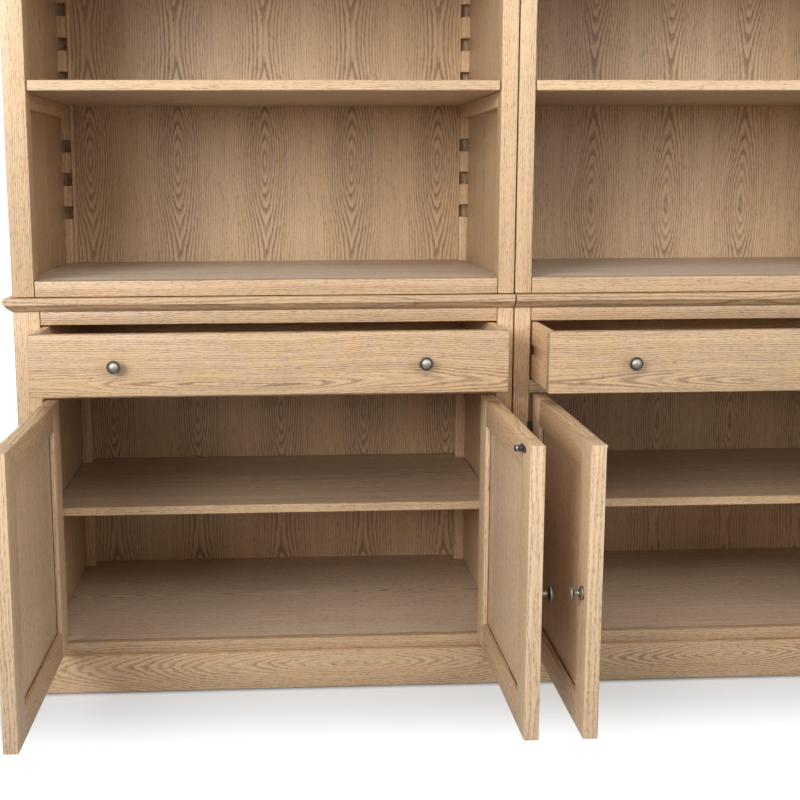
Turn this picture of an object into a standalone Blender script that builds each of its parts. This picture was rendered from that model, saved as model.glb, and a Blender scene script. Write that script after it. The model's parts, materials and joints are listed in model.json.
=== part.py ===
"""Twin library bookcase: two mirrored bays that stand side by side.

Each bay is a base cabinet with a drawer over two framed doors, and an open
bookcase on top of it whose shelves hang on cleats in notched racks.
Metres, +Z up, the front faces -Y and the seam between the bays is at X = 0.
The doors and drawers are drawn part open, which is their rest pose.
"""
import math

import bmesh
import bpy

PARTS_NAME = "library_bookcase"
CUTTERS_NAME = "library_bookcase_cutters"

# Overall sizes
bay_width = 0.960
carcass_depth = 0.522
total_height = 2.200
bay_gap = 0.0006

# Clearances: seat is left between pieces that touch, lap is how far joined shapes run
# into each other, and overrun is how far a cutter runs past what it cuts
seat = 0.0003
lap = 0.002
overrun = 0.010

# Upright members, in plan
seam_stile_width = 0.032
outer_stile_width = 0.050
stile_thickness = 0.024
hutch_post_width = 0.0415
hutch_post_depth = 0.038
seam_panel_thickness = 0.0145
base_outer_panel_thickness = 0.040
hutch_outer_panel_thickness = 0.0165
back_thickness = 0.009
back_recess = 0.010
arris = 0.0012

# Heights in the base cabinet
plinth_height = 0.080
base_floor_thickness = 0.024
base_floor_setback = 0.026
door_foot_gap = 0.025
door_height = 0.4965
door_head_gap = 0.0015
mid_rail_thickness = 0.0245
mid_rail_depth = 0.060
drawer_opening_height = 0.118
top_rail_height = 0.0255
moulding_height = 0.0265
cupboard_shelf_lift = 0.255
cupboard_shelf_thickness = 0.0175
cupboard_shelf_setback = 0.092

# Moulded edge of the waist board and of the crown
moulding_overhang = 0.0155
fascia_height = 0.0125
fascia_round = 0.003
ovolo_quirk = 0.002
ovolo_steps = 5
round_steps = 3

# Corner battens of the base and the shelf pins
base_batten_width = 0.022
base_batten_depth = 0.040
pin_radius = 0.003
pin_length = 0.009
pin_sides = 8
pin_inset = 0.045

# Hutch floor, frieze and shelf racks
hutch_floor_lift = 0.0302
hutch_floor_thickness = 0.018
hutch_rail_lip = 0.001
frieze_height = 0.060
rack_width = 0.018
rack_notch_depth = 0.015
rack_batten_depth = 0.018
outer_batten_width = 0.026
seam_batten_width = 0.020
front_rack_width = 0.012
front_rack_spine = 0.003
first_notch_lift = 0.101
notch_pitch = 0.075
notch_height = 0.0286
cleat_height = 0.0283
cleat_setback = 0.0005
rack_top_gap = 0.002
cleat_notch_shares = (0.22, 0.48, 0.75)

# Adjustable shelves
shelf_thickness = 0.019
shelf_post_gap = 0.0025
shelf_panel_gap = 0.001
shelf_rack_gap = 0.002
shelf_edge_round = 0.0015

# Drawers
drawer_reveal = 0.002
drawer_front_thickness = 0.020
drawer_front_ease = 0.002
drawer_side_thickness = 0.012
drawer_side_inset = 0.0025
drawer_bottom_thickness = 0.005
drawer_bottom_lift = 0.006
drawer_box_drop = 0.0015
drawer_back_clearance = 0.050
drawer_pulls = {-1: 0.127, 1: 0.153}
runner_height = 0.0194
runner_groove_depth = 0.007
runner_groove_stop = 0.008
runner_setback = 0.030
runner_end_clearance = 0.048
drawer_knob_inset = 0.155

# Doors
door_gap = 0.003
door_thickness = 0.025
door_stile_width = 0.060
door_rail_width = 0.051
door_panel_thickness = 0.006
door_panel_tongue = 0.008
sticking_width = 0.003
outer_door_angle = math.radians(90.5)
seam_door_angle = math.radians(90.3)
hinge_radius = 0.0047
hinge_height = 0.050
hinge_inset = 0.055
hinge_leaf_depth = 0.022
hinge_pin_radius = 0.0015
hinge_bore_radius = 0.002
hinge_sides = 12

# Knobs
knob_radius = 0.013
drawer_knob_height = 0.025
door_knob_height = 0.023
door_knob_lift = 0.241
knob_steps = 20
drawer_knob_radius_shares = (0, 0.30, 0.58, 0.66, 0.74, 0.90, 1, 1, 0.86, 0.42, 0.34, 0.36, 0.50, 0.52, 0)
drawer_knob_height_shares = (1, 0.99, 0.95, 0.91, 0.94, 0.89, 0.82, 0.74, 0.68, 0.60, 0.40, 0.16, 0.06, 0, 0)
door_knob_radius_shares = (0, 0.45, 0.80, 1, 1, 0.62, 0.31, 0.31, 0.55, 0.84, 0.90, 0)
door_knob_height_shares = (1, 0.985, 0.94, 0.86, 0.78, 0.68, 0.62, 0.24, 0.18, 0.08, 0, 0)

# Finishes: colour, roughness and metallic value
honey_oak = ((0.62, 0.45, 0.29), 0.55, 0)
shaded_oak = ((0.33, 0.24, 0.17), 0.6, 0)
pewter = ((0.55, 0.54, 0.52), 0.3, 1)
black_iron = ((0.04, 0.035, 0.03), 0.5, 0.8)

# Turns that set an outline drawn flat into a side view or a front view
SIDE_VIEW = (math.pi / 2, 0, math.pi / 2)
FRONT_VIEW = (math.pi / 2, 0, 0)

# Levels and lengths that follow from the sizes above
outer_stile_edge = bay_width - outer_stile_width
seam_stile_edge = seam_stile_width
door_bottom_z = plinth_height + door_foot_gap
mid_rail_bottom_z = door_bottom_z + door_height + door_head_gap
mid_rail_top_z = mid_rail_bottom_z + mid_rail_thickness
top_rail_bottom_z = mid_rail_top_z + drawer_opening_height
waist_bottom_z = top_rail_bottom_z + top_rail_height
waist_top_z = waist_bottom_z + moulding_height
hutch_bottom_z = waist_top_z + seat
hutch_floor_top_z = hutch_bottom_z + hutch_floor_lift
crown_bottom_z = total_height - moulding_height
first_notch_z = hutch_floor_top_z + first_notch_lift
notch_count = int((crown_bottom_z - frieze_height - first_notch_z - notch_height) / notch_pitch)
cleat_notches = [int(notch_count * share) for share in cleat_notch_shares]
cleat_seat_z = first_notch_z + cleat_height
base_floor_top_z = plinth_height + base_floor_thickness
cupboard_shelf_top_z = base_floor_top_z + cupboard_shelf_lift
back_face_y = carcass_depth - back_recess
drawer_box_depth = back_face_y - drawer_front_thickness - drawer_back_clearance
runner_length = back_face_y - runner_setback - runner_end_clearance
hutch_outer_panel_face = bay_width - hutch_outer_panel_thickness
base_outer_panel_face = bay_width - base_outer_panel_thickness
hutch_post_face = bay_width - hutch_post_width
door_width = (outer_stile_edge - seam_stile_edge - 3 * door_gap) / 2
pivot_reach = door_gap / 2
pivot_forward = hinge_radius + seat
hinge_leaf_thickness = (door_gap - 3 * seat) / 2
door_tip = pivot_reach + door_width
door_sweep = math.hypot(door_tip, pivot_forward + door_thickness)
door_sweep_angle = math.atan2(pivot_forward + door_thickness, door_tip)
door_reach = pivot_forward + door_sweep * math.sin(outer_door_angle - door_sweep_angle)
front_y = (door_reach - carcass_depth) / 2


def clear_scene():
    """Start from an empty scene."""
    for old in list(bpy.data.objects):
        bpy.data.objects.remove(old, do_unlink=True)


def new_collection(name):
    collection = bpy.data.collections.new(name)
    bpy.context.scene.collection.children.link(collection)
    return collection


def move_to(obj, collection):
    for holder in list(obj.users_collection):
        holder.objects.unlink(obj)
    collection.objects.link(obj)


def finish(obj, look):
    """Give a piece its own material."""
    colour, roughness, metallic = look
    material = bpy.data.materials.new(obj.name)
    material.use_nodes = True
    shader = material.node_tree.nodes["Principled BSDF"]
    shader.inputs["Base Color"].default_value = (*colour, 1)
    shader.inputs["Roughness"].default_value = roughness
    shader.inputs["Metallic"].default_value = metallic
    obj.data.materials.clear()
    obj.data.materials.append(material)
    return obj


def across(side, inner, outer):
    """World X span between two distances from a bay's seam face; side is -1 left, 1 right."""
    ends = (side * (bay_gap / 2 + inner), side * (bay_gap / 2 + outer))
    return (min(ends), max(ends))


def along(front, back):
    """World Y span between two distances behind the cabinet's front plane."""
    return (front_y + front, front_y + back)


def box(name, xs, ys, zs, pivot=None):
    """A box between two limits on each axis, in its pivot's frame when it has one."""
    centre = [sum(span) / 2 for span in (xs, ys, zs)]
    bpy.ops.mesh.primitive_cube_add(size=1)
    obj = bpy.context.object
    obj.name = name
    obj.scale = [span[1] - span[0] for span in (xs, ys, zs)]
    bpy.ops.object.transform_apply(location=False, rotation=False, scale=True)
    obj.parent = pivot
    obj.location = centre
    move_to(obj, parts)
    return obj


def cylinder(name, radius, length, sides, location, rotation=(0, 0, 0)):
    bpy.ops.mesh.primitive_cylinder_add(vertices=sides, radius=radius, depth=length)
    obj = bpy.context.object
    obj.name = name
    obj.location = location
    obj.rotation_euler = rotation
    move_to(obj, parts)
    for face in obj.data.polygons:
        face.use_smooth = True
    obj.data.set_sharp_from_angle(angle=math.radians(40))
    return obj


def outline(name, points, thickness, location, rotation=(0, 0, 0)):
    """A flat outline given thickness, drawn in its own plane and turned into place."""
    curve = bpy.data.curves.new(name, "CURVE")
    curve.dimensions = "2D"
    curve.fill_mode = "BOTH"
    curve.extrude = thickness / 2
    spline = curve.splines.new("POLY")
    spline.points.add(len(points) - 1)
    for point, (across_plane, up_plane) in zip(spline.points, points):
        point.co = (across_plane, up_plane, 0, 1)
    spline.use_cyclic_u = True
    guide = bpy.data.objects.new(name + "_outline", curve)
    guide.location = location
    guide.rotation_euler = rotation
    parts.objects.link(guide)
    bpy.context.view_layer.update()
    depsgraph = bpy.context.evaluated_depsgraph_get()
    mesh = bpy.data.meshes.new_from_object(guide.evaluated_get(depsgraph))
    work = bmesh.new()
    work.from_mesh(mesh)
    bmesh.ops.remove_doubles(work, verts=work.verts, dist=lap / 100)
    bmesh.ops.recalc_face_normals(work, faces=work.faces)
    work.to_mesh(mesh)
    work.free()
    obj = bpy.data.objects.new(name, mesh)
    obj.matrix_world = guide.matrix_world
    bpy.data.objects.remove(guide, do_unlink=True)
    parts.objects.link(obj)
    return obj


def turned(name, radius, height, radius_shares, height_shares):
    """A turned piece standing on its own origin, its profile running down the +X side."""
    mesh = bpy.data.meshes.new(name)
    points = [(radius * r, 0, height * h) for r, h in zip(radius_shares, height_shares)]
    edges = [(index, index + 1) for index in range(len(points) - 1)]
    mesh.from_pydata(points, edges, [])
    obj = bpy.data.objects.new(name, mesh)
    parts.objects.link(obj)
    screw = obj.modifiers.new("turn", "SCREW")
    screw.axis = "Z"
    screw.angle = math.tau
    screw.steps = knob_steps
    screw.render_steps = knob_steps
    screw.use_merge_vertices = True
    screw.merge_threshold = lap / 100
    screw.use_smooth_shade = True
    return obj


def combine(obj, other, operation):
    """Join other to obj, or cut it away; other is then kept as a wire guide."""
    modifier = obj.modifiers.new(other.name, "BOOLEAN")
    modifier.operation = operation
    modifier.solver = "EXACT"
    modifier.object = other
    other.hide_render = True
    other.display_type = "WIRE"
    move_to(other, cutters)
    return obj


def join(obj, *others):
    for other in others:
        combine(obj, other, "UNION")
    return obj


def cut(obj, *others):
    for other in others:
        combine(obj, other, "DIFFERENCE")
    return obj


def ease(obj, width, segments=1):
    """Soften the sharp edges of a piece by a small width."""
    bevel = obj.modifiers.new("eased_edges", "BEVEL")
    bevel.width = width
    bevel.segments = segments
    bevel.limit_method = "ANGLE"
    bevel.angle_limit = math.radians(40)
    return obj


def moulding_profile(depth, height, skirt):
    """Section of a board whose edge at depth 0 is moulded: depth runs in, height runs up.

    The fascia stands out by the overhang under a small round, and an ovolo runs from
    a quirk below the fascia back to the face underneath. The skirt carries the section
    straight on above and below the board.
    """
    points = [(depth, -skirt), (depth, height + skirt)]
    if skirt:
        points.append((fascia_round - moulding_overhang, height + skirt))
    for step in range(round_steps + 1):
        turn = math.pi / 2 * step / round_steps
        out = moulding_overhang - fascia_round * (1 - math.sin(turn))
        up = height - fascia_round * (1 - math.cos(turn))
        points.append((-out, up))
    fascia_foot = height - fascia_height
    points.append((-moulding_overhang, fascia_foot))
    for step in range(ovolo_steps + 1):
        turn = math.pi / 2 * step / ovolo_steps
        out = (moulding_overhang - ovolo_quirk) * math.cos(turn)
        points.append((-out, fascia_foot * (1 - math.sin(turn))))
    if skirt:
        points.append((0, -skirt))
    return points


def moulded_board(name, side, bottom_z, height):
    """A board over the whole bay, moulded along its front and round its outer end."""
    length = bay_width + moulding_overhang + 2 * overrun
    middle_x = sum(across(side, -overrun, bay_width + moulding_overhang + overrun)) / 2
    front = outline(
        name,
        moulding_profile(carcass_depth, height, 0),
        length,
        (middle_x, front_y, bottom_z),
        SIDE_VIEW,
    )
    # The end's section runs inward from the outer face, so it turns over on the left
    end_points = [(-side * depth, up) for depth, up in moulding_profile(bay_width, height, overrun)]
    end = outline(
        name + "_end",
        end_points,
        carcass_depth + moulding_overhang + 2 * overrun,
        (side * (bay_gap / 2 + bay_width), front_y + (carcass_depth - moulding_overhang) / 2, bottom_z),
        FRONT_VIEW,
    )
    return combine(front, end, "INTERSECT")


def upright(name, side, plan_edges, post_depth, zs):
    """A front post and the panel behind it in one, its two front arrises eased.

    plan_edges holds the distances from the seam face of the bay's own side, of the
    panel's inner face and of the post's inner face.
    """
    edge, face, post_face = plan_edges
    inward = 1 if post_face > edge else -1
    plan = [
        (edge, arris),
        (edge + inward * arris, 0),
        (post_face - inward * arris, 0),
        (post_face, arris),
        (post_face, post_depth),
        (face, post_depth),
        (face, carcass_depth),
        (edge, carcass_depth),
    ]
    return outline(
        name,
        [(side * (bay_gap / 2 + u), front_y + v) for u, v in plan],
        zs[1] - zs[0],
        (0, 0, sum(zs) / 2),
    )


def comb_points(top_z, y_open, y_root, y_spine):
    """Side view of a rack: notches open at y_open and stop at y_root, spine at y_spine."""
    points = [(y_spine, hutch_floor_top_z + seat), (y_open, hutch_floor_top_z + seat)]
    for notch in range(notch_count):
        floor_z = first_notch_z + notch * notch_pitch
        points.append((y_open, floor_z))
        points.append((y_root, floor_z))
        points.append((y_root, floor_z + notch_height))
        points.append((y_open, floor_z + notch_height))
    points.append((y_open, top_z))
    points.append((y_spine, top_z))
    return points


def rack(name, side, panel_face, inward, width, y_open, y_root, y_spine):
    """A notched rack on a side panel, let a little into the panel and what backs it."""
    xs = across(side, panel_face - inward * lap, panel_face + inward * width)
    return outline(
        name,
        comb_points(crown_bottom_z - rack_top_gap - lap, y_open, y_root, y_spine),
        xs[1] - xs[0],
        (sum(xs) / 2, front_y, 0),
        SIDE_VIEW,
    )


def hutch_side(prefix, side, outer):
    """One side of the open bookcase: post, panel, racks and the cleats that carry shelves."""
    part = "outer" if outer else "seam"
    name = f"{prefix}_hutch_{part}_side"
    face = hutch_outer_panel_face if outer else seam_panel_thickness
    edge = bay_width if outer else 0
    post_face = hutch_post_face if outer else seam_stile_width
    inward = -1 if outer else 1
    batten_width = outer_batten_width if outer else seam_batten_width
    post = upright(name, side, (edge, face, post_face), hutch_post_depth, (hutch_bottom_z, crown_bottom_z - seat))
    batten = box(
        name + "_batten",
        across(side, face - inward * lap, face + inward * batten_width),
        along(back_face_y - rack_batten_depth, back_face_y),
        (hutch_floor_top_z + seat, crown_bottom_z - rack_top_gap),
    )
    rear_root = back_face_y - rack_batten_depth
    rear_rack = rack(
        name + "_rear_rack", side, face, inward, rack_width,
        rear_root - rack_notch_depth, rear_root, rear_root + lap,
    )
    front_root = hutch_post_depth + front_rack_spine
    front_rack = rack(
        name + "_front_rack", side, face, inward, front_rack_width,
        front_root + rack_notch_depth, front_root, hutch_post_depth - lap,
    )
    join(post, batten, rear_rack, front_rack)
    for notch in cleat_notches:
        floor_z = first_notch_z + notch * notch_pitch
        cleat = box(
            f"{name}_cleat_{notch}",
            across(side, face - inward * lap / 2, face + inward * (rack_width - cleat_setback)),
            along(front_root - lap, rear_root + lap),
            (floor_z - lap, floor_z + cleat_height),
        )
        join(post, cleat)
    return finish(post, honey_oak)


def hutch_back(prefix, side):
    back = box(
        f"{prefix}_hutch_back",
        across(side, seam_panel_thickness + seat, hutch_outer_panel_face - seat),
        along(back_face_y + seat, back_face_y + back_thickness),
        (hutch_bottom_z, crown_bottom_z - seat),
    )
    return finish(back, shaded_oak)


def hutch_floor(prefix, side):
    """Floor board notched round the posts, with the rail that fronts it."""
    name = f"{prefix}_hutch_floor"
    zs = (hutch_floor_top_z - hutch_floor_thickness, hutch_floor_top_z)
    between_posts = across(side, seam_stile_width + seat, hutch_post_face - seat)
    rail = box(name, between_posts, along(0, stile_thickness), (hutch_bottom_z, hutch_floor_top_z + hutch_rail_lip))
    ease(rail, arris)
    neck = box(name + "_neck", between_posts, along(stile_thickness - lap, hutch_post_depth + lap), zs)
    board = box(
        name + "_board",
        across(side, seam_panel_thickness + seat, hutch_outer_panel_face - seat),
        along(hutch_post_depth + seat, back_face_y),
        zs,
    )
    return finish(join(rail, neck, board), honey_oak)


def shelf(prefix, side, label, notch):
    """A shelf between the posts that widens behind them and is cut round all four racks."""
    seam_inner = seam_stile_width + shelf_post_gap
    outer_inner = hutch_post_face - shelf_post_gap
    seam_wide = seam_panel_thickness + shelf_panel_gap
    outer_wide = hutch_outer_panel_face - shelf_panel_gap
    widen_y = hutch_post_depth + front_rack_spine + rack_notch_depth + shelf_rack_gap
    rear_open = back_face_y - rack_batten_depth - rack_notch_depth - shelf_rack_gap
    batten_seam = seam_panel_thickness + seam_batten_width + shelf_rack_gap
    batten_outer = hutch_outer_panel_face - outer_batten_width - shelf_rack_gap
    plan = [
        (seam_inner, 0),
        (outer_inner, 0),
        (outer_inner, widen_y),
        (outer_wide, widen_y),
        (outer_wide, rear_open),
        (batten_outer, rear_open),
        (batten_outer, back_face_y - shelf_panel_gap),
        (batten_seam, back_face_y - shelf_panel_gap),
        (batten_seam, rear_open),
        (seam_wide, rear_open),
        (seam_wide, widen_y),
        (seam_inner, widen_y),
    ]
    bottom_z = cleat_seat_z + notch * notch_pitch + seat
    board = outline(
        f"{prefix}_shelf_{label}",
        [(side * (bay_gap / 2 + u), front_y + v) for u, v in plan],
        shelf_thickness,
        (0, 0, bottom_z + shelf_thickness / 2),
    )
    ease(board, shelf_edge_round)
    return finish(board, honey_oak)


def hutch_crown(prefix, side):
    """Top board with its moulding, and the frieze rail below it between the posts."""
    name = f"{prefix}_hutch_crown"
    board = moulded_board(name, side, crown_bottom_z, moulding_height)
    frieze = box(
        name + "_frieze",
        across(side, seam_stile_width + seat, hutch_post_face - seat),
        along(0, stile_thickness),
        (crown_bottom_z - frieze_height, crown_bottom_z + lap),
    )
    return finish(join(board, frieze), honey_oak)


def base_side(prefix, side, outer):
    """One side of the base: stile, panel, rear corner batten, drawer runner and shelf pins."""
    part = "outer" if outer else "seam"
    name = f"{prefix}_base_{part}_side"
    face = base_outer_panel_face if outer else seam_panel_thickness
    edge = bay_width if outer else 0
    stile_edge = outer_stile_edge if outer else seam_stile_edge
    inward = -1 if outer else 1
    stile = upright(name, side, (edge, face, stile_edge), stile_thickness, (0, waist_bottom_z - seat))
    batten = box(
        name + "_batten",
        across(side, face - inward * lap, face + inward * base_batten_width),
        along(back_face_y - base_batten_depth, back_face_y),
        (base_floor_top_z + seat, waist_bottom_z - rack_top_gap),
    )
    box_face = stile_edge + inward * (drawer_reveal + drawer_side_inset)
    runner_z = runner_bottom_z()
    runner = box(
        name + "_runner",
        across(side, face - inward * lap, box_face + inward * (runner_groove_depth - seat)),
        along(runner_setback, runner_setback + runner_length),
        (runner_z, runner_z + runner_height),
    )
    join(stile, batten, runner)
    shelf_bottom_z = cupboard_shelf_top_z - cupboard_shelf_thickness
    pin_rows = (cupboard_shelf_setback + pin_inset, back_face_y - base_batten_depth - pin_inset)
    for row, pin_y in enumerate(pin_rows):
        xs = across(side, face - inward * lap, face + inward * pin_length)
        pin = cylinder(
            f"{name}_pin_{row}",
            pin_radius,
            xs[1] - xs[0],
            pin_sides,
            (sum(xs) / 2, front_y + pin_y, shelf_bottom_z - seat - pin_radius),
            (0, math.pi / 2, 0),
        )
        join(stile, pin)
    return finish(stile, honey_oak)


def runner_bottom_z():
    """The runner lies at the middle of the drawer front's height."""
    drawer_middle = (mid_rail_top_z + top_rail_bottom_z) / 2
    return drawer_middle - runner_height / 2


def base_back(prefix, side):
    back = box(
        f"{prefix}_base_back",
        across(side, seam_panel_thickness + seat, base_outer_panel_face - seat),
        along(back_face_y + seat, back_face_y + back_thickness),
        (plinth_height, waist_bottom_z - seat),
    )
    return finish(back, shaded_oak)


def base_floor(prefix, side):
    floor = box(
        f"{prefix}_base_floor",
        across(side, seam_panel_thickness + seat, base_outer_panel_face - seat),
        along(base_floor_setback, back_face_y),
        (plinth_height + seat, base_floor_top_z),
    )
    ease(floor, arris)
    return finish(floor, honey_oak)


def between_stiles(side):
    return across(side, seam_stile_edge + seat, outer_stile_edge - seat)


def plinth(prefix, side):
    board = box(f"{prefix}_plinth", between_stiles(side), along(0, base_floor_setback), (0, plinth_height))
    ease(board, arris)
    return finish(board, honey_oak)


def mid_rail(prefix, side):
    rail = box(
        f"{prefix}_mid_rail", between_stiles(side), along(0, mid_rail_depth), (mid_rail_bottom_z, mid_rail_top_z)
    )
    ease(rail, arris)
    return finish(rail, honey_oak)


def cupboard_shelf(prefix, side):
    """Shelf on pins, cut round the two rear corner battens."""
    name = f"{prefix}_cupboard_shelf"
    zs = (cupboard_shelf_top_z - cupboard_shelf_thickness, cupboard_shelf_top_z)
    seam_wide = seam_panel_thickness + shelf_panel_gap
    outer_wide = base_outer_panel_face - shelf_panel_gap
    rear_y = back_face_y - shelf_panel_gap
    board = box(name, across(side, seam_wide, outer_wide), along(cupboard_shelf_setback, rear_y), zs)
    corner_y = along(back_face_y - base_batten_depth - shelf_rack_gap, rear_y + overrun)
    reach = base_batten_width + shelf_rack_gap
    tall = (zs[0] - overrun, zs[1] + overrun)
    seam_corner = box(
        name + "_seam_corner", across(side, seam_wide - overrun, seam_panel_thickness + reach), corner_y, tall
    )
    outer_corner = box(
        name + "_outer_corner", across(side, base_outer_panel_face - reach, outer_wide + overrun), corner_y, tall
    )
    cut(board, seam_corner, outer_corner)
    ease(board, arris)
    return finish(board, honey_oak)


def waist_top(prefix, side):
    """Moulded board over the base, with the rail under it between the stiles."""
    name = f"{prefix}_waist_top"
    board = moulded_board(name, side, waist_bottom_z, moulding_height)
    rail = box(
        name + "_rail", between_stiles(side), along(0, stile_thickness), (top_rail_bottom_z, waist_bottom_z + lap)
    )
    return finish(join(board, rail), honey_oak)


def drawer(prefix, side):
    """Drawer pulled out by its own amount: front, box with runner grooves, and two knobs."""
    pull = drawer_pulls[side]
    bottom_z = mid_rail_top_z + drawer_reveal
    top_z = top_rail_bottom_z - drawer_reveal
    seam_end = seam_stile_edge + drawer_reveal
    outer_end = outer_stile_edge - drawer_reveal
    front = box(
        f"{prefix}_drawer_front",
        across(side, seam_end, outer_end),
        along(-pull, drawer_front_thickness - pull),
        (bottom_z, top_z),
    )
    ease(front, drawer_front_ease, 2)
    finish(front, honey_oak)

    name = f"{prefix}_drawer_box"
    box_front = drawer_front_thickness + seat - pull
    box_back = box_front + drawer_box_depth
    low_z = bottom_z + drawer_box_drop
    high_z = top_z - drawer_box_drop
    seam_face = seam_end + drawer_side_inset
    outer_face = outer_end - drawer_side_inset
    body = box(name, across(side, seam_face, outer_face), along(box_front, box_back), (low_z, high_z))
    inside_x = across(side, seam_face + drawer_side_thickness, outer_face - drawer_side_thickness)
    inside = box(
        name + "_inside",
        inside_x,
        along(box_front - overrun, box_back - drawer_side_thickness),
        (low_z + drawer_bottom_lift + drawer_bottom_thickness, high_z + overrun),
    )
    below = box(
        name + "_below",
        inside_x,
        along(box_front - overrun, box_back - drawer_side_thickness),
        (low_z - overrun, low_z + drawer_bottom_lift),
    )
    groove_z = (runner_bottom_z() - seat, runner_bottom_z() + runner_height + seat)
    groove_y = along(box_front + runner_groove_stop, box_back + overrun)
    seam_groove = box(
        name + "_seam_groove",
        across(side, seam_face - overrun, seam_face + runner_groove_depth),
        groove_y,
        groove_z,
    )
    outer_groove = box(
        name + "_outer_groove",
        across(side, outer_face - runner_groove_depth, outer_face + overrun),
        groove_y,
        groove_z,
    )
    cut(body, inside, below, seam_groove, outer_groove)
    finish(body, honey_oak)

    spots = {"seam": seam_end + drawer_knob_inset, "outer": outer_end - drawer_knob_inset}
    for label, u in spots.items():
        knob = turned(
            f"{prefix}_drawer_{label}_knob",
            knob_radius,
            drawer_knob_height,
            drawer_knob_radius_shares,
            drawer_knob_height_shares,
        )
        knob.location = (sum(across(side, u, u)) / 2, front_y - pull - seat, (bottom_z + top_z) / 2)
        knob.rotation_euler = (math.pi / 2, 0, 0)
        finish(knob, pewter)


def door(prefix, side, outer):
    """A framed door built closed about its hinge pivot, then turned open with it."""
    part = "outer" if outer else "seam"
    hand = -side if outer else side
    angle = outer_door_angle if outer else seam_door_angle
    stile_edge = outer_stile_edge - pivot_reach if outer else seam_stile_edge + pivot_reach
    pivot = bpy.data.objects.new(f"{prefix}_{part}_door_pivot", None)
    pivot.location = (side * (bay_gap / 2 + stile_edge), front_y - pivot_forward, door_bottom_z)
    pivot.rotation_euler = (0, 0, -hand * angle)
    parts.objects.link(pivot)

    def reach(low, high):
        ends = (hand * low, hand * high)
        return (min(ends), max(ends))

    name = f"{prefix}_{part}_door_frame"
    near = pivot_reach
    far = near + door_width
    face_y = pivot_forward
    back_y = face_y + door_thickness
    frame = box(name, reach(near, far), (face_y, back_y), (0, door_height), pivot)
    ease(frame, arris)
    window_x = (near + door_stile_width, far - door_stile_width)
    window_z = (door_rail_width, door_height - door_rail_width)
    window = box(name + "_window", reach(*window_x), (face_y - overrun, back_y + overrun), window_z, pivot)
    middle_y = (face_y + back_y) / 2
    half_groove = door_panel_thickness / 2 + seat
    groove = box(
        name + "_groove",
        reach(window_x[0] - door_panel_tongue, window_x[1] + door_panel_tongue),
        (middle_y - half_groove, middle_y + half_groove),
        (window_z[0] - door_panel_tongue, window_z[1] + door_panel_tongue),
        pivot,
    )
    cut(frame, window, groove)
    for label, outward in (("front", -1), ("back", 1)):
        sticking = sticking_cutter(f"{name}_{label}_sticking", reach(*window_x), window_z, outward, pivot)
        edge_y = face_y if outward < 0 else back_y
        sticking.location[1] = edge_y
        cut(frame, sticking)
    join_door_hinges(frame, hand, pivot)
    finish(frame, honey_oak)

    tongue = door_panel_tongue - seat
    panel = box(
        f"{prefix}_{part}_door_panel",
        reach(window_x[0] - tongue, window_x[1] + tongue),
        (middle_y - door_panel_thickness / 2, middle_y + door_panel_thickness / 2),
        (window_z[0] - tongue, window_z[1] + tongue),
        pivot,
    )
    finish(panel, honey_oak)

    knob = turned(
        f"{prefix}_{part}_door_knob",
        knob_radius,
        door_knob_height,
        door_knob_radius_shares,
        door_knob_height_shares,
    )
    knob.parent = pivot
    knob.location = (hand * (far - door_stile_width / 2), face_y - seat, door_knob_lift)
    knob.rotation_euler = (math.pi / 2, 0, 0)
    finish(knob, pewter)


def sticking_cutter(name, xs, zs, outward, pivot):
    """A block whose outer end flares, so it cuts a sloped edge round the door's window."""
    half = sticking_width
    cutter = box(name, xs, (-half, half), zs, pivot)
    for vertex in cutter.data.vertices:
        if vertex.co.y * outward > 0:
            vertex.co.x += math.copysign(2 * sticking_width, vertex.co.x)
            vertex.co.z += math.copysign(2 * sticking_width, vertex.co.z)
    return cutter


def hinge_places():
    """Middle heights of a door's two hinges above the door's lower edge."""
    return {
        "lower": hinge_inset + hinge_height / 2,
        "upper": door_height - hinge_inset - hinge_height / 2,
    }


def cabinet_hinges(prefix, side, outer):
    """Hinge halves on the stile: a leaf cut round the door's knuckle, two knuckles and the pin."""
    part = "outer" if outer else "seam"
    stile_edge = outer_stile_edge if outer else seam_stile_edge
    inward = -1 if outer else 1
    centre = (side * (bay_gap / 2 + stile_edge + inward * pivot_reach), front_y - pivot_forward)
    leaf_x = across(side, stile_edge + inward * seat, stile_edge + inward * (seat + hinge_leaf_thickness))
    third = hinge_height / 3
    half = hinge_height / 2
    back = pivot_forward + hinge_leaf_depth
    root = pivot_forward
    tab = third / 2 + lap / 2
    plan = [(back, -half), (back, half), (0, half), (0, tab), (root, tab), (root, -tab), (0, -tab), (0, -half)]
    for label, place in hinge_places().items():
        z = door_bottom_z + place
        name = f"{prefix}_{part}_hinge_{label}"
        leaf = outline(name, plan, leaf_x[1] - leaf_x[0], (sum(leaf_x) / 2, centre[1], z), SIDE_VIEW)
        pin = cylinder(name + "_pin", hinge_pin_radius, third + 2 * lap, hinge_sides, (*centre, z))
        for end, step in (("low", -1), ("high", 1)):
            knuckle = cylinder(
                f"{name}_{end}_knuckle", hinge_radius, third - seat, hinge_sides, (*centre, z + step * third)
            )
            join(leaf, knuckle)
        finish(join(leaf, pin), black_iron)


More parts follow.
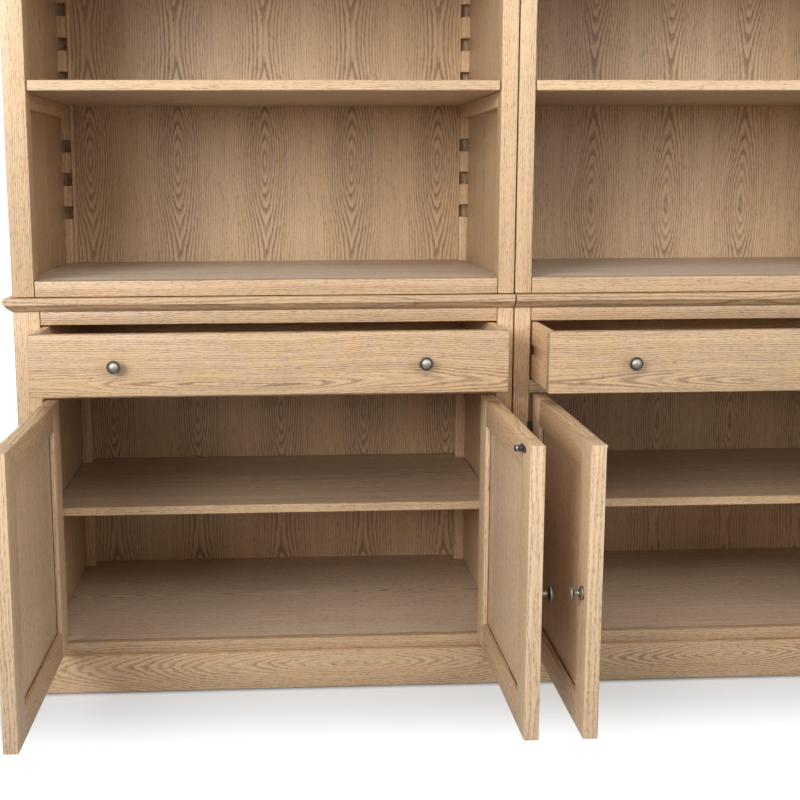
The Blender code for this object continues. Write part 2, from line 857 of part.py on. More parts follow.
def join_door_hinges(frame, hand, pivot):
    """Hinge halves let into the door's edge: a leaf and the bored knuckle between the other two."""
    ends = (hand * (pivot_reach + lap), hand * (pivot_reach - seat - hinge_leaf_thickness))
    knuckle_height = hinge_height / 3 - seat
    half = hinge_height / 2
    back = pivot_forward + hinge_leaf_depth
    root = pivot_forward + lap / 2
    tab = knuckle_height / 2 - lap / 2
    plan = [(back, -half), (back, half), (root, half), (root, tab), (0, tab), (0, -tab), (root, -tab), (root, -half)]
    for label, place in hinge_places().items():
        stem = f"{frame.name}_{label}"
        leaf = outline(stem + "_leaf", plan, abs(ends[1] - ends[0]), (sum(ends) / 2, 0, place), SIDE_VIEW)
        knuckle = cylinder(stem + "_knuckle", hinge_radius, knuckle_height, hinge_sides, (0, 0, place))
        bore = cylinder(stem + "_bore", hinge_bore_radius, hinge_height, hinge_sides, (0, 0, place))
        for piece in (leaf, knuckle, bore):
            piece.parent = pivot
        join(frame, leaf, knuckle)
        cut(frame, bore)


def bay(prefix, side):
    """Every piece of one bay."""
    hutch_side(prefix, side, True)
    hutch_side(prefix, side, False)
    hutch_back(prefix, side)
    hutch_floor(prefix, side)
    for label, notch in zip(("lower", "middle", "upper"), cleat_notches):
        shelf(prefix, side, label, notch)
    hutch_crown(prefix, side)
    base_side(prefix, side, True)
    base_side(prefix, side, False)
    base_back(prefix, side)
    base_floor(prefix, side)
    plinth(prefix, side)
    mid_rail(prefix, side)
    cupboard_shelf(prefix, side)
    waist_top(prefix, side)
    drawer(prefix, side)
    for outer in (True, False):
        door(prefix, side, outer)
        cabinet_hinges(prefix, side, outer)


clear_scene()
parts = new_collection(PARTS_NAME)
cutters = new_collection(CUTTERS_NAME)
bay("left", -1)
bay("right", 1)
bpy.context.view_layer.update()
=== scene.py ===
"""The looks of a twin library bookcase in light oiled oak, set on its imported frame."""

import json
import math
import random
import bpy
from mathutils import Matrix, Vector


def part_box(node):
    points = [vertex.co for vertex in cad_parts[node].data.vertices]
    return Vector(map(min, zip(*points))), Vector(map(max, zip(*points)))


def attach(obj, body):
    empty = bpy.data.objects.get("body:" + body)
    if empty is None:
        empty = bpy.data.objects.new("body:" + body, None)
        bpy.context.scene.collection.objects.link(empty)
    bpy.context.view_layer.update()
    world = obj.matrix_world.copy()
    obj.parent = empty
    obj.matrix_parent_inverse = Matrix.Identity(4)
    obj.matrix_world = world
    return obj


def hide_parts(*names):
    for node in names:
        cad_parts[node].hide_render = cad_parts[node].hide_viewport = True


bl_info = {
    "name": "Library Bookcase Looks",
    "version": (1, 0, 0),
    "blender": (4, 5, 0),
    "location": "3D View > Sidebar > Bookcase",
    "description": "Oak boards, veneers, knobs, hinges and studio for a twin library bookcase",
    "category": "Object",
}

import bmesh
import bpy
from mathutils import Matrix, Vector

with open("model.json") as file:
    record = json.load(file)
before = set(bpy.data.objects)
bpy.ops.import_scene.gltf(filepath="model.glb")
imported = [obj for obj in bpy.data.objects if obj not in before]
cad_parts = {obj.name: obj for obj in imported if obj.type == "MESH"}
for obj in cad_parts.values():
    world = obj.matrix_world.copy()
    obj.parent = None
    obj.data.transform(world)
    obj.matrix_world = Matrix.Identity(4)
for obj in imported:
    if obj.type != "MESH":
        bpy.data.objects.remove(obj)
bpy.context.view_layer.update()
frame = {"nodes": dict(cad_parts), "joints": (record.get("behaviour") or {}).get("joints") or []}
SIDES = {"left": -1, "right": 1}
WHITE = (1, 1, 1)
# Wear of turned metal where a profile doesn't tell, from 0 in the grooves to 1 on the domes
PLAIN_WEAR = 0.6
# Edges that turn by more than this many radians are softened
SHARP_TURN = 0.6

# The studio's lamps in metres: their power is in the panel
LAMPS = {
    "overhead": {"place": (-0.4, -2.9, 3.5), "aim": (-0.2, 0, 0.9), "size": (2.8, 2.0)},
    "key": {"place": (-2.4, -2.9, 2.0), "aim": (-0.2, 0, 1.7), "size": (2.0, 1.6)},
    "fill": {"place": (2.0, -2.6, 2.0), "aim": (-0.2, 0, 0.9), "size": (1.6, 1.6)},
}


def low(node):
    """Lowest corner of a CAD node at rest."""
    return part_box(node)[0]


def high(node):
    """Highest corner of a CAD node at rest."""
    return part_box(node)[1]


def inward(point_x):
    """How far a world X lies from the seam between the bays."""
    return abs(point_x)


def reach(node):
    """Least and greatest distance of a CAD node from the seam."""
    return sorted(inward(corner.x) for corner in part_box(node))


# The carcass's faces: Y in the world, X as a distance from the seam
FRONT_Y = low("left_plinth").y
BACK_Y = high("left_base_outer_side").y
BACK_FACE_Y = low("left_hutch_back").y
OUTER_X = inward(low("left_base_outer_side").x)
SEAM_X = inward(high("left_base_seam_side").x)
STILE_OUTER_X = inward(low("left_plinth").x)
STILE_SEAM_X = inward(high("left_plinth").x)


def number(name, description, default, **settings):
    """A number that the panel shows."""
    return bpy.props.FloatProperty(name=name, description=description, default=default, **settings)


def length(name, description, default, **limits):
    """A size in metres that the panel shows."""
    return number(name, description, default, subtype="DISTANCE", **limits)


def tilt(name, description, degrees):
    """An angle that the panel shows."""
    return number(name, description, math.radians(degrees), subtype="ANGLE")


def swatch(name, description, default):
    """A colour that the panel shows."""
    return bpy.props.FloatVectorProperty(
        name=name, description=description, default=default, subtype="COLOR", size=3, min=0, max=1
    )


class OakFinish(bpy.types.PropertyGroup):
    """Colours and figure of the oak"""

    light: swatch("Light wood", "Colour of the late wood", (0.735, 0.510, 0.303))
    dark: swatch("Ring line", "Colour of the porous early wood", (0.36, 0.215, 0.115))
    pore: swatch("Pore", "Colour in the open pores", (0.19, 0.11, 0.055))
    ring_spacing: length(
        "Ring spacing", "Width of one year's growth in the solid boards", 0.0044, min=0.0005,
    )
    leaf_spacing: length(
        "Veneer ring spacing", "Width of one year's growth in the veneer", 0.0066, min=0.0005,
    )
    leaf_pitch: length("Veneer leaf", "Width of one leaf of the slip-matched veneer", 0.2005, min=0.05)
    eye_length: length("Eye length", "Distance between two eyes along a leaf", 0.54, min=0.1)
    board_sway: length("Board sway", "How far the heart wanders sideways along a board", 0.03, min=0)
    board_dip: length("Board dip", "How far the heart rises and falls along a board", 0.018, min=0)
    leaf_sway: length("Leaf sway", "How far the heart wanders sideways along a leaf", 0.012, min=0)
    eye_slope: number(
        "Eye slope", "How fast the cut leaves the rings of an eye along the leaf", 0.25, min=0,
    )
    eye_heart: length("Eye heart", "Depth of the log's heart below an eye", 0.006, min=0)
    eye_point: number("Eye point", "How sharply the rings of an eye come to a point", 0.22, min=0)
    roughness: number(
        "Roughness", "Roughness of the oiled face", 0.46, min=0, max=1, subtype="FACTOR",
    )


class MetalFinish(bpy.types.PropertyGroup):
    """Darkest and brightest colour of each metal"""

    pewter_groove: swatch("Pewter grooves", "Colour of the pewter where it is dark", (0.03, 0.028, 0.025))
    pewter_dome: swatch("Pewter domes", "Colour of the pewter where it is worn", (0.37, 0.345, 0.29))
    iron_dark: swatch("Iron", "Colour of the blackened steel", (0.018, 0.018, 0.019))
    iron_worn: swatch("Worn iron", "Colour of the blackened steel where it is worn", (0.06, 0.06, 0.062))
    zinc_dark: swatch("Dark zinc", "Colour of the zinc's darker clouds", (0.30, 0.31, 0.33))
    zinc_bright: swatch("Bright zinc", "Colour of the zinc's brighter clouds", (0.52, 0.53, 0.54))


class BoardSizes(bpy.types.PropertyGroup):
    """Sizes of the boards that the frame doesn't tell"""

    joint: length("Joint", "Open line between two boards", 0.0005, min=0)
    ease: length("Eased edge", "Width of the softened edges", 0.0011, min=0)
    post_width: length("Post width", "Width of the hutch's outer posts", 0.0415, min=0.01)
    post_depth: length("Post depth", "Depth of the hutch posts", 0.038, min=0.01)
    stile_depth: length("Stile depth", "Thickness of the base stiles and rails", 0.024, min=0.01)
    seat: length("Seat", "Gap that the frame leaves between pieces that touch", 0.0003, min=0)
    shadow_line: length("Shadow line", "How far a board stops short of an open joint", 0.0012, min=0)
    rail_lip: length("Rail lip", "How far the hutch rail stands above its floor", 0.001, min=0)
    floor_board: length("Hutch floor", "Thickness of the hutch floor", 0.018, min=0.005)
    strip_front: length(
        "Strip setback", "How far behind the front the base floor's edge strip starts", 0.010, min=0,
    )
    strip_back: length(
        "Strip back", "How far behind the front the base floor's edge strip ends", 0.028, min=0,
    )
    lipping: length("Lipping", "Depth of the lipping along a shelf's front", 0.008, min=0.001)
    rack_width: length("Rack width", "Width of the rack teeth", 0.018, min=0.005)
    front_rack_width: length("Front rack width", "Width of the rack behind a post", 0.012, min=0.005)
    tooth_depth: length("Tooth depth", "Depth of a rack tooth", 0.015, min=0.002)
    batten_depth: length("Batten depth", "Depth of the batten behind a rack", 0.018, min=0.002)
    outer_batten: length("Outer batten", "Width of the batten on the outer side", 0.026, min=0.005)
    seam_batten: length("Seam batten", "Width of the batten on the seam side", 0.020, min=0.005)
    first_notch: length("First notch", "Height of the lowest notch above the hutch floor", 0.101)
    notch_pitch: length("Notch pitch", "Step from notch to notch", 0.075, min=0.01)
    notch_height: length("Notch height", "Height of a notch", 0.0286, min=0.005)
    notch_count: bpy.props.IntProperty(name="Notches", description="Notches in a rack", default=15, min=1)
    door_stile: length("Door stile", "Width of a door's stiles", 0.060, min=0.01)
    door_rail: length("Door rail", "Height of a door's rails", 0.051, min=0.01)
    sticking: length("Sticking", "Width of the sloped edge round a door's panel", 0.0016, min=0)
    panel_gap: length("Panel gap", "Open line round a door's panel", 0.0016, min=0)
    panel_line: length("Panel line", "Width of the dark line round a door's panel", 0.0016, min=0)
    panel_groove: length("Panel groove", "Depth of the open line round a door's panel", 0.0022, min=0)
    door_thickness: length("Door thickness", "Thickness of a door's frame", 0.025, min=0.01)
    drawer_side: length("Drawer side", "Thickness of the drawer box sides", 0.012, min=0.004)
    bottom_lift: length("Bottom lift", "Height of the drawer bottom in its sides", 0.006, min=0)
    bottom_board: length("Drawer bottom", "Thickness of the drawer bottom", 0.005, min=0.001)


class MouldingSizes(bpy.types.PropertyGroup):
    """Section of the moulded boards"""

    height: length("Height", "Thickness of a moulded board", 0.0265)
    strip: length("Strip", "Width of the moulded strip behind the face below it", 0.030)
    fascia: length("Fascia", "Height of the flat face over the round", 0.0125)
    nose: length("Nose", "Radius of the rounded top edge", 0.003)
    quirk: length("Quirk", "Step between the fascia and the round under it", 0.002)
    bulge: length(
        "Bulge", "How far the round under the fascia stands out from a plain slope", 0.0009, min=0,
    )
    steps: bpy.props.IntProperty(
        name="Steps", description="Facets in the rounded top edge", default=6, min=2,
    )


class BaseFittings(bpy.types.PropertyGroup):
    """Battens, drawer runners and shelf pins in the base"""

    batten_width: length("Batten width", "Width of the rear corner battens", 0.022)
    batten_depth: length("Batten depth", "Depth of the rear corner battens", 0.040)
    runner_front: length("Runner setback", "How far behind the front the runner starts", 0.030)
    runner_end: length("Runner end", "How far before the back panel the runner ends", 0.048)
    runner_height: length("Runner height", "Height of a drawer runner", 0.0194)
    groove_depth: length("Groove depth", "Depth of the groove in the drawer's side", 0.007)
    glide_height: length("Glide height", "How far the glides hold the base off the floor", 0.0035, min=0)
    glide_radius: length("Glide radius", "Radius of a glide under the base", 0.011)
    glide_inset: length("Glide inset", "Distance of a glide from the front or the back", 0.05)
    pin_radius: length("Pin radius", "Radius of a shelf pin", 0.003)
    pin_length: length("Pin length", "How far a shelf pin stands out", 0.009)
    pin_inset: length("Pin inset", "How far a shelf pin lies from the shelf's edge", 0.045)


class HardwareSizes(bpy.types.PropertyGroup):
    """Hinges, screws and door catches"""

    hinge_height: length("Hinge height", "Height of a hinge", 0.050)
    leaf_depth: length("Leaf depth", "How far a leaf reaches behind the front", 0.022)
    leaf_face: length("Leaf face", "Distance from the hinge line to a leaf's bare face", 0.00015)
    leaf_root: length("Leaf root", "Distance from the hinge line to the wood under a leaf", 0.0012)
    leaf_ease: length("Leaf edge", "Width of a leaf's softened edges", 0.0003)
    knuckle_radius: length("Knuckle radius", "Radius of a hinge knuckle", 0.0047)
    knuckle_bore: length("Knuckle bore", "Radius of the hole through a knuckle", 0.002)
    pin_radius: length("Pin radius", "Radius of a hinge pin", 0.0015)
    screw_radius: length("Screw radius", "Radius of a screw's head", 0.0028)
    screw_step: length("Screw step", "Distance between a leaf's screws", 0.0165)
    catch_inset: length("Catch inset", "Distance of the catch from the door's free edge", 0.048)
    catch_drop: length("Catch drop", "Distance of the catch below the door's top", 0.0145)
    catch_length: length("Catch length", "Length of the catch's plate", 0.040)
    catch_height: length("Catch height", "Height of the catch's plate", 0.012)
    catch_plate: length("Catch plate", "Thickness of the catch's plate", 0.0016)
    catch_sink: length("Catch seat", "How far the catch's plate is let into the door", 0.0002)
    catch_ease: length("Catch edge", "Width of the plate's softened edges", 0.0004)
    barrel_radius: length("Barrel radius", "Radius of the catch's barrel", 0.0056)
    barrel_length: length("Barrel length", "Length of the catch's barrel", 0.0135)


class StudioSizes(bpy.types.PropertyGroup):
    """Camera, lamps and floor"""

    camera_place: bpy.props.FloatVectorProperty(
        name="Camera", description="Place of the camera, with Y measured from the cabinet's front",
        subtype="TRANSLATION", default=(-0.4587, -2.2080, 1.0269), size=3,
    )
    camera_pitch: tilt("Pitch", "How far the camera looks up", -8.701)
    camera_yaw: tilt("Yaw", "How far the camera turns left", -2.756)
    camera_roll: tilt("Roll", "How far the camera leans", 0.214)
    lens: number("Lens", "Focal length on a 36 mm sensor", 52.056, min=10, unit="CAMERA")
    shift: bpy.props.FloatVectorProperty(
        name="Shift", description="Sideways and upward shift of the lens", size=2,
        default=(0.0840, -0.0604),
    )
    sky: number("Sky", "Strength of the even light", 0.10, min=0)
    overhead: number("Overhead", "Power of the lamp above and in front", 58, min=0, unit="POWER")
    key: number("Key", "Power of the large lamp on the left", 42, min=0, unit="POWER")
    fill: number("Fill", "Power of the lamp on the right", 37, min=0, unit="POWER")
    spread: tilt("Spread", "Angle of the key lamp's beam", 100)
    floor_colour: swatch("Floor", "Colour of the floor in the cabinet's shadow", (0.62, 0.635, 0.65))
    floor_glow: number("Floor glow", "Brightness of the floor beyond the shadow", 1.3, min=0)
    near_glow: number(
        "Near glow", "Share of the floor's glow beside the cabinet", 0.32, min=0, max=1, subtype="FACTOR",
    )
    # Reach of the floor's painted shadow halo, and width of its painted contact shadow at the foot
    glow_reach: length("Glow reach", "Distance over which the floor's glow grows", 0.42, min=0)
    contact_reach: length("Contact line", "Width of the dark line at the cabinet's foot", 0.012, min=0)


def feed(tree, slot, value):
    """Link a Value to a socket, or set the socket to a plain number or colour."""
    if isinstance(value, Value):
        tree.links.new(value.socket, slot)
    elif slot.type == "RGBA" and len(value) == 3:
        slot.default_value = (*value, 1)
    else:
        slot.default_value = value


def add_node(tree, kind, settings=None, inputs=None, output=0):
    """Add a node: its settings first, then values or links by socket; returns one of its outputs."""
    node = tree.nodes.new(kind)
    for name, value in (settings or {}).items():
        setattr(node, name, value)
    for socket, value in (inputs or {}).items():
        feed(tree, node.inputs[socket], value)
    return Value(tree, node.outputs[output])


def math_node(tree, operation, *values):
    return add_node(tree, "ShaderNodeMath", {"operation": operation}, dict(enumerate(values)))


class Value:
    """A socket in a material's tree. Arithmetic on it adds Math nodes."""

    def __init__(self, tree, socket):
        self.tree = tree
        self.socket = socket

    def math(self, operation, *others):
        """A Math node's result on this value and the others, in that order."""
        return math_node(self.tree, operation, self, *others)

    def __add__(self, other):
        return self.math("ADD", other)

    __radd__ = __add__

    def __sub__(self, other):
        return self.math("SUBTRACT", other)

    def __rsub__(self, other):
        return math_node(self.tree, "SUBTRACT", other, self)

    def __mul__(self, other):
        return self.math("MULTIPLY", other)

    __rmul__ = __mul__

    def __truediv__(self, other):
        return self.math("DIVIDE", other)

    def __pow__(self, other):
        return self.math("POWER", other)


class Finish:
    """A material, its Principled shader and short calls for the nodes it uses most."""

    def __init__(self, name):
        self.material = bpy.data.materials.new(name)
        self.material.use_nodes = True
        self.tree = self.material.node_tree
        self.shader = self.tree.nodes["Principled BSDF"]

    def add(self, kind, settings=None, inputs=None, output=0):
        return add_node(self.tree, kind, settings, inputs, output)

    def set(self, **values):
        """Set or link the shader's sockets, with underscores for spaces in their names."""
        for name, value in values.items():
            feed(self.tree, self.shader.inputs[name.replace("_", " ")], value)

    def vector(self, x, y, z):
        return self.add("ShaderNodeCombineXYZ", None, {"X": x, "Y": y, "Z": z})

    def split(self, vector):
        """A vector's three numbers."""
        first = self.add("ShaderNodeSeparateXYZ", None, {"Vector": vector})
        return [Value(self.tree, socket) for socket in first.socket.node.outputs]

    def noise(self, vector, scale, seed=0, detail=2, roughness=0.5):
        """Noise from 0 to 1, in another pattern for another seed."""
        inputs = {"Vector": vector, "W": seed, "Scale": scale, "Detail": detail, "Roughness": roughness}
        return self.add("ShaderNodeTexNoise", {"noise_dimensions": "4D"}, inputs)

    def bump(self, strength, distance, height):
        inputs = {"Strength": strength, "Distance": distance, "Height": height}
        return self.add("ShaderNodeBump", None, inputs)

    def attribute(self, name, output="Fac"):
        """An attribute of the mesh, read as a number unless the output says Vector."""
        return self.add("ShaderNodeAttribute", {"attribute_name": name}, output=output)

    def place(self):
        """Object coordinates, which stay with a piece as it moves."""
        return self.add("ShaderNodeTexCoord", output="Object")

    def between(self, value, start, end):
        """0 below start, 1 above end, and smooth between."""
        inputs = {"Value": value, "From Min": start, "From Max": end}
        return self.add("ShaderNodeMapRange", {"interpolation_type": "SMOOTHSTEP"}, inputs)

    def blend(self, factor, first, second):
        """The first colour where the factor is 0, and the second where it is 1."""
        # A Mix node's colour sockets have no names of their own: they are inputs 6 and 7, output 2
        inputs = {0: factor, 6: first, 7: second}
        return self.add("ShaderNodeMix", {"data_type": "RGBA"}, inputs, output=2)


def oak(name, veneer=False):
    """Oak that reads where each point lay in the log from the grain attribute.

    Its first number runs along the log, the other two measure from the log's heart. Growth
    rings, open pores, fine fibres and slow changes of tone all follow from that.
    """
    wood = bpy.context.scene.oak_finish
    finish = Finish(name)
    along, wide, deep = finish.split(finish.attribute("grain", "Vector"))
    tone = finish.attribute("tone")
    bold = finish.attribute("bold")
    faded = finish.attribute("faded")
    seed = tone * 37

    def fibres(lengthwise, crosswise, seed=seed, detail=2, roughness=0.5):
        """Noise with that many features to a metre along the fibres and across them."""
        place = finish.vector(along * lengthwise, wide * crosswise, deep * crosswise)
        return finish.noise(place, 1, seed, detail, roughness)

    # The log's heart wanders, which closes the rings into eyes and flames on a flat cut
    line = finish.vector(along, 0, 0)
    if veneer:
        climb = (along * (math.pi / wood.eye_length)).math("SINE")
        heart_deep = climb * (wood.eye_slope * wood.eye_length / math.pi)
        heart_wide = wide + (finish.noise(line, 5, seed + 5, 1) - 0.5) * wood.leaf_sway
        spacing, rounding, shake_share = wood.leaf_spacing, 0.000002, 1.2
    else:
        heart_deep = deep + (finish.noise(line, 3.1, seed, 2) - 0.5) * wood.board_dip
        heart_wide = wide + (finish.noise(line, 2.3, seed + 5, 2) - 0.5) * wood.board_sway
        spacing, rounding, shake_share = wood.ring_spacing, 0.000004, 1.5
    flank = heart_wide * heart_wide
    square = flank + heart_deep * heart_deep
    if veneer:
        square = square + wood.eye_heart**2
    radius = square**0.5 + (flank + rounding) ** 0.5 * wood.eye_point

    # Each ring wavers, and is dark where its early wood was cut
    shake = (fibres(7, 45) - 0.5) * shake_share
    fine_shake = (fibres(30, 260, detail=1) - 0.5) * 0.6
    rings = radius / spacing + shake + fine_shake
    year = rings.math("FRACT")
    early = finish.between(year, 0, 0.16) * (1 - finish.between(year, 0.24, 0.74))

    # Some years are bolder than others
    boldness = finish.noise(finish.vector(rings * 0.31, 0, 0), 1, seed, 2)
    early = early * finish.between(boldness, 0.2, 0.62)
    if veneer:
        # The rings fade where they run edge-on between two eyes
        early = early * (1 - finish.between(flank, 0.0008, 0.0062) * 0.62)

    # Fine streaks, open pores and a slow drift of tone lie over the rings
    streaks = fibres(7, 300, detail=3, roughness=0.7)
    pores = fibres(95, 820, seed + 3, roughness=0.6)
    drift = fibres(2.2, 16, seed + 9)
    open_pores = finish.between(pores + early * 0.12, 0.58, 0.68)

    colour = finish.blend(early * (0.80 if veneer else bold), wood.light, wood.dark)
    colour = finish.blend(finish.between(streaks, 0.42, 0.72) * 0.32, colour, wood.dark)
    colour = finish.blend(open_pores * 0.55, colour, wood.pore)
    board_tone = ((tone * 7.3).math("FRACT") - 0.5) * 0.10
    shade = 0.88 + drift * 0.26 + board_tone
    # The ring darkness darkens the whole board too: partly painted shade on boards that the light leaves
    # darker
    shade = shade - 0.14 if veneer else shade + 0.08 - bold * 0.34
    # Greying takes colour out and lifts the value a little: partly the board's own tint, partly a painted
    # sheen on tops seen at a glancing angle
    change = {
        "Color": colour,
        "Value": shade + faded * 0.04,
        "Saturation": 0.96 + drift * 0.1 - faded * 0.4,
    }
    finish.set(
        Base_Color=finish.add("ShaderNodeHueSaturation", None, change),
        Roughness=wood.roughness + open_pores * 0.2 - streaks * 0.08,
        Normal=finish.bump(0.4, 0.0004, 1 - open_pores * 0.8 - early * 0.35 + streaks * 0.25),
        Specular_IOR_Level=0.6,
    )
    return finish.material


def pewter():
    """Aged pewter: brighter on the domes, dark in the grooves, with a fine cloudy tarnish."""
    metal = bpy.context.scene.metal_finish
    finish = Finish("aged_pewter")
    place = finish.place()
    cloud = finish.noise(place, 90, 1, 4)
    speck = finish.noise(place, 900, 2, 3)
    worn = finish.attribute("worn")
    bright = finish.between(worn * 0.75 + cloud * 0.35 + speck * 0.12, 0.15, 0.95)
    finish.set(
        Base_Color=finish.blend(bright, metal.pewter_groove, metal.pewter_dome),
        Roughness=0.50 - worn * 0.10 + speck * 0.12,
        Metallic=0.9,
        Normal=finish.bump(0.25, 0.0003, cloud + speck * 0.4),
    )
    return finish.material


def black_iron():
    """Blackened steel with a slight grey wear on it."""
    metal = bpy.context.scene.metal_finish
    finish = Finish("black_iron")
    place = finish.place()
    cloud = finish.noise(place, 120, 3, 4)
    grit = finish.noise(place, 1400, 4, 2)
    finish.set(
        Base_Color=finish.blend(finish.between(cloud, 0.35, 0.8), metal.iron_dark, metal.iron_worn),
        Roughness=0.36 + cloud * 0.2,
        Metallic=0.6,
        Normal=finish.bump(0.2, 0.0002, grit),
    )
    return finish.material


def zinc():
    """Dull bright steel for the screws, the shelf pins, the glides and the catch's band."""
    metal = bpy.context.scene.metal_finish
    finish = Finish("dull_zinc")
    cloud = finish.noise(finish.place(), 300, 6, 3)
    finish.set(
        Base_Color=finish.blend(cloud, metal.zinc_dark, metal.zinc_bright),
        Roughness=0.3 + cloud * 0.2,
        Metallic=0.95,
    )
    return finish.material


def make_material(name):
    """The named finish, made when a piece first asks for it."""
    makers = {
        "light_oak": lambda: oak("light_oak"),
        "oak_veneer": lambda: oak("oak_veneer", True),
        "aged_pewter": pewter,
        "black_iron": black_iron,
        "dull_zinc": zinc,
    }
    return bpy.data.materials.get(name) or makers[name]()


def sizes():
    """Sizes of the boards, as the panel shows them."""
    return bpy.context.scene.board_sizes


def across(side, near, far):
    """World X span between two distances from the seam, on one side of it."""
    ends = (side * near, side * far)
    return (min(ends), max(ends))


def along_y(near, far):
    """World Y span between two depths behind the cabinet's front."""
    return (FRONT_Y + near, FRONT_Y + far)


def spans_of(points):
    """Least and greatest X, Y and Z of some points."""
    return [(min(p[i] for p in points), max(p[i] for p in points)) for i in range(3)]


class Piece:
    """Collects closed meshes in one object that rides on a body."""

    def __init__(self, name):
        self.name = name
        self.mesh = bmesh.new()
        self.mesh.verts.layers.float.new("worn")

    def take(self, mesh, finish=0):
        """Add a mesh with one of the piece's materials, and free it."""
        for face in mesh.faces:
            face.material_index = finish
        data = bpy.data.meshes.new("part")
        mesh.to_mesh(data)
        mesh.free()
        self.mesh.from_mesh(data)
        bpy.data.meshes.remove(data)

    def build(self, body, nodes=(), materials=("light_oak",), turn=None, slot="face_oak", angle=38):
        """Finish the piece: one object at the origin, riding on its body in place of its nodes."""
        if turn is not None:
            bmesh.ops.transform(self.mesh, matrix=turn, verts=self.mesh.verts)
        data = bpy.data.meshes.new(self.name)
        self.mesh.to_mesh(data)
        self.mesh.free()
        data.shade_smooth()
        data.set_sharp_from_angle(angle=math.radians(angle))
        for name in materials:
            data.materials.append(make_material(name))
        obj = bpy.data.objects.new(self.name, data)
        bpy.context.scene.collection.objects.link(obj)
        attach(obj, body)
        if nodes:
            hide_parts(*nodes)


class Joinery(Piece):
    """A piece of boards, each with its own place in the log."""

    def __init__(self, name):
        super().__init__(name)
        self.mesh.verts.layers.float_vector.new("grain")
        for layer in ("tone", "bold", "faded"):
            self.mesh.verts.layers.float.new(layer)
        self.random = random.Random(name)

    def add(
        self, board, axis, cut="rift", thin=None, ease=None, segments=2,
        tone=None, start=None, heart=None, rise=None, bold=None, faded=0,
    ):
        """Take a closed board in: soften its edges and note each point's place in the log.

        axis is the direction of the grain and thin the direction of the board's thickness.
        cut is rift for straight lines on the face, flat for flames. rise is how fast the cut
        leaves the log's heart along the board. The darkness setting tells how dark the rings are
        and darkens the whole board with them, partly as painted shade on boards that the light
        leaves darker. The greying setting tells how grey and a little lighter the wood is, partly
        the board's own tint and partly a painted sheen on tops seen at a glancing angle.
        """
        width = sizes().ease if ease is None else ease
        if width:
            soften(board, width, segments)
        spans = spans_of([vertex.co for vertex in board.verts])
        lowest, highest = (Vector(corner) for corner in zip(*spans))
        middle = (lowest + highest) / 2
        size = highest - lowest
        others = [i for i in range(3) if i != axis]
        if thin is None:
            thin = min(others, key=lambda i: size[i])
        wide = [i for i in others if i != thin][0]
        tone = self.random.random() if tone is None else tone
        start = self.random.uniform(-3, 3) if start is None else start
        if rise is None:
            rise = self.random.uniform(-0.09, 0.09) if cut == "flat" else 0
        # Flat-cut boards and boards with their grain along X get darker rings and a darker tone; on the
        # horizontal boards the darker tone is painted shade
        if bold is None:
            bold = 0.62 if cut == "flat" or axis == 0 else 0.30
        if heart is None and cut == "flat":
            heart = (self.random.uniform(-0.012, 0.012), self.random.uniform(0.018, 0.03))
        elif heart is None:
            edge_side = self.random.choice((-1, 1))
            heart = (edge_side * self.random.uniform(0.10, 0.16), self.random.uniform(0.05, 0.09))
        grain = board.verts.layers.float_vector.new("grain")
        for vertex in board.verts:
            place = vertex.co - middle
            climb = heart[1] + rise * place[axis]
            vertex[grain] = (place[axis] + start, place[wide] + heart[0], place[thin] + climb)
        for name, amount in (("tone", tone), ("bold", bold), ("faded", faded)):
            layer = board.verts.layers.float.new(name)
            for vertex in board.verts:
                vertex[layer] = amount
        self.take(board)

    def box(self, xs, ys, zs, axis, **settings):
        self.add(box_mesh(xs, ys, zs), axis, **settings)

    def prism(self, points, run, span, axis, **settings):
        """An outline carried along the run axis; its points are (first, second) of the other two."""
        self.add(prism_mesh(points, run, span), axis, **settings)


def box_mesh(xs, ys, zs):
    """A closed box between its X, Y and Z spans."""
    block = bmesh.new()
    bmesh.ops.create_cube(block, size=1)
    for vertex in block.verts:
        spans = zip((xs, ys, zs), vertex.co)
        vertex.co = [sum(span) / 2 + value * (span[1] - span[0]) for span, value in spans]
    return block


def turned_mesh(profile, axis, centre, steps=24, tube=False):
    """A closed turned mesh. The profile holds radius, travel along the axis and, if it matters, wear."""
    mesh = bmesh.new()
    worn = mesh.verts.layers.float.new("worn")
    across_axes = [i for i in range(3) if i != axis]
    rings = []
    for radius, travel, *wear in profile:
        ring = []
        for index in range(steps if radius else 1):
            angle = math.tau * index / steps
            corner = list(centre)
            corner[axis] += travel
            corner[across_axes[0]] += radius * math.cos(angle)
            corner[across_axes[1]] += radius * math.sin(angle)
            vertex = mesh.verts.new(corner)
            vertex[worn] = wear[0] if wear else PLAIN_WEAR
            ring.append(vertex)
        rings.append(ring)
    if tube:
        rings.append(rings[0])
    for ring, following in zip(rings, rings[1:]):
        for index in range(steps):
            after = (index + 1) % steps
            corners = [ring[index % len(ring)], ring[after % len(ring)]]
            corners += [following[after % len(following)], following[index % len(following)]]
            mesh.faces.new(dict.fromkeys(corners))
    bmesh.ops.recalc_face_normals(mesh, faces=mesh.faces)
    return mesh


def soften(mesh, width, segments=2):
    """Round the sharp edges of a closed mesh."""
    shared = [edge for edge in mesh.edges if len(edge.link_faces) == 2]
    sharp = [edge for edge in shared if edge.calc_face_angle() > SHARP_TURN]
    bmesh.ops.bevel(
        mesh, geom=sharp, offset=width, segments=segments, profile=0.5, affect="EDGES", clamp_overlap=True
    )
    return mesh


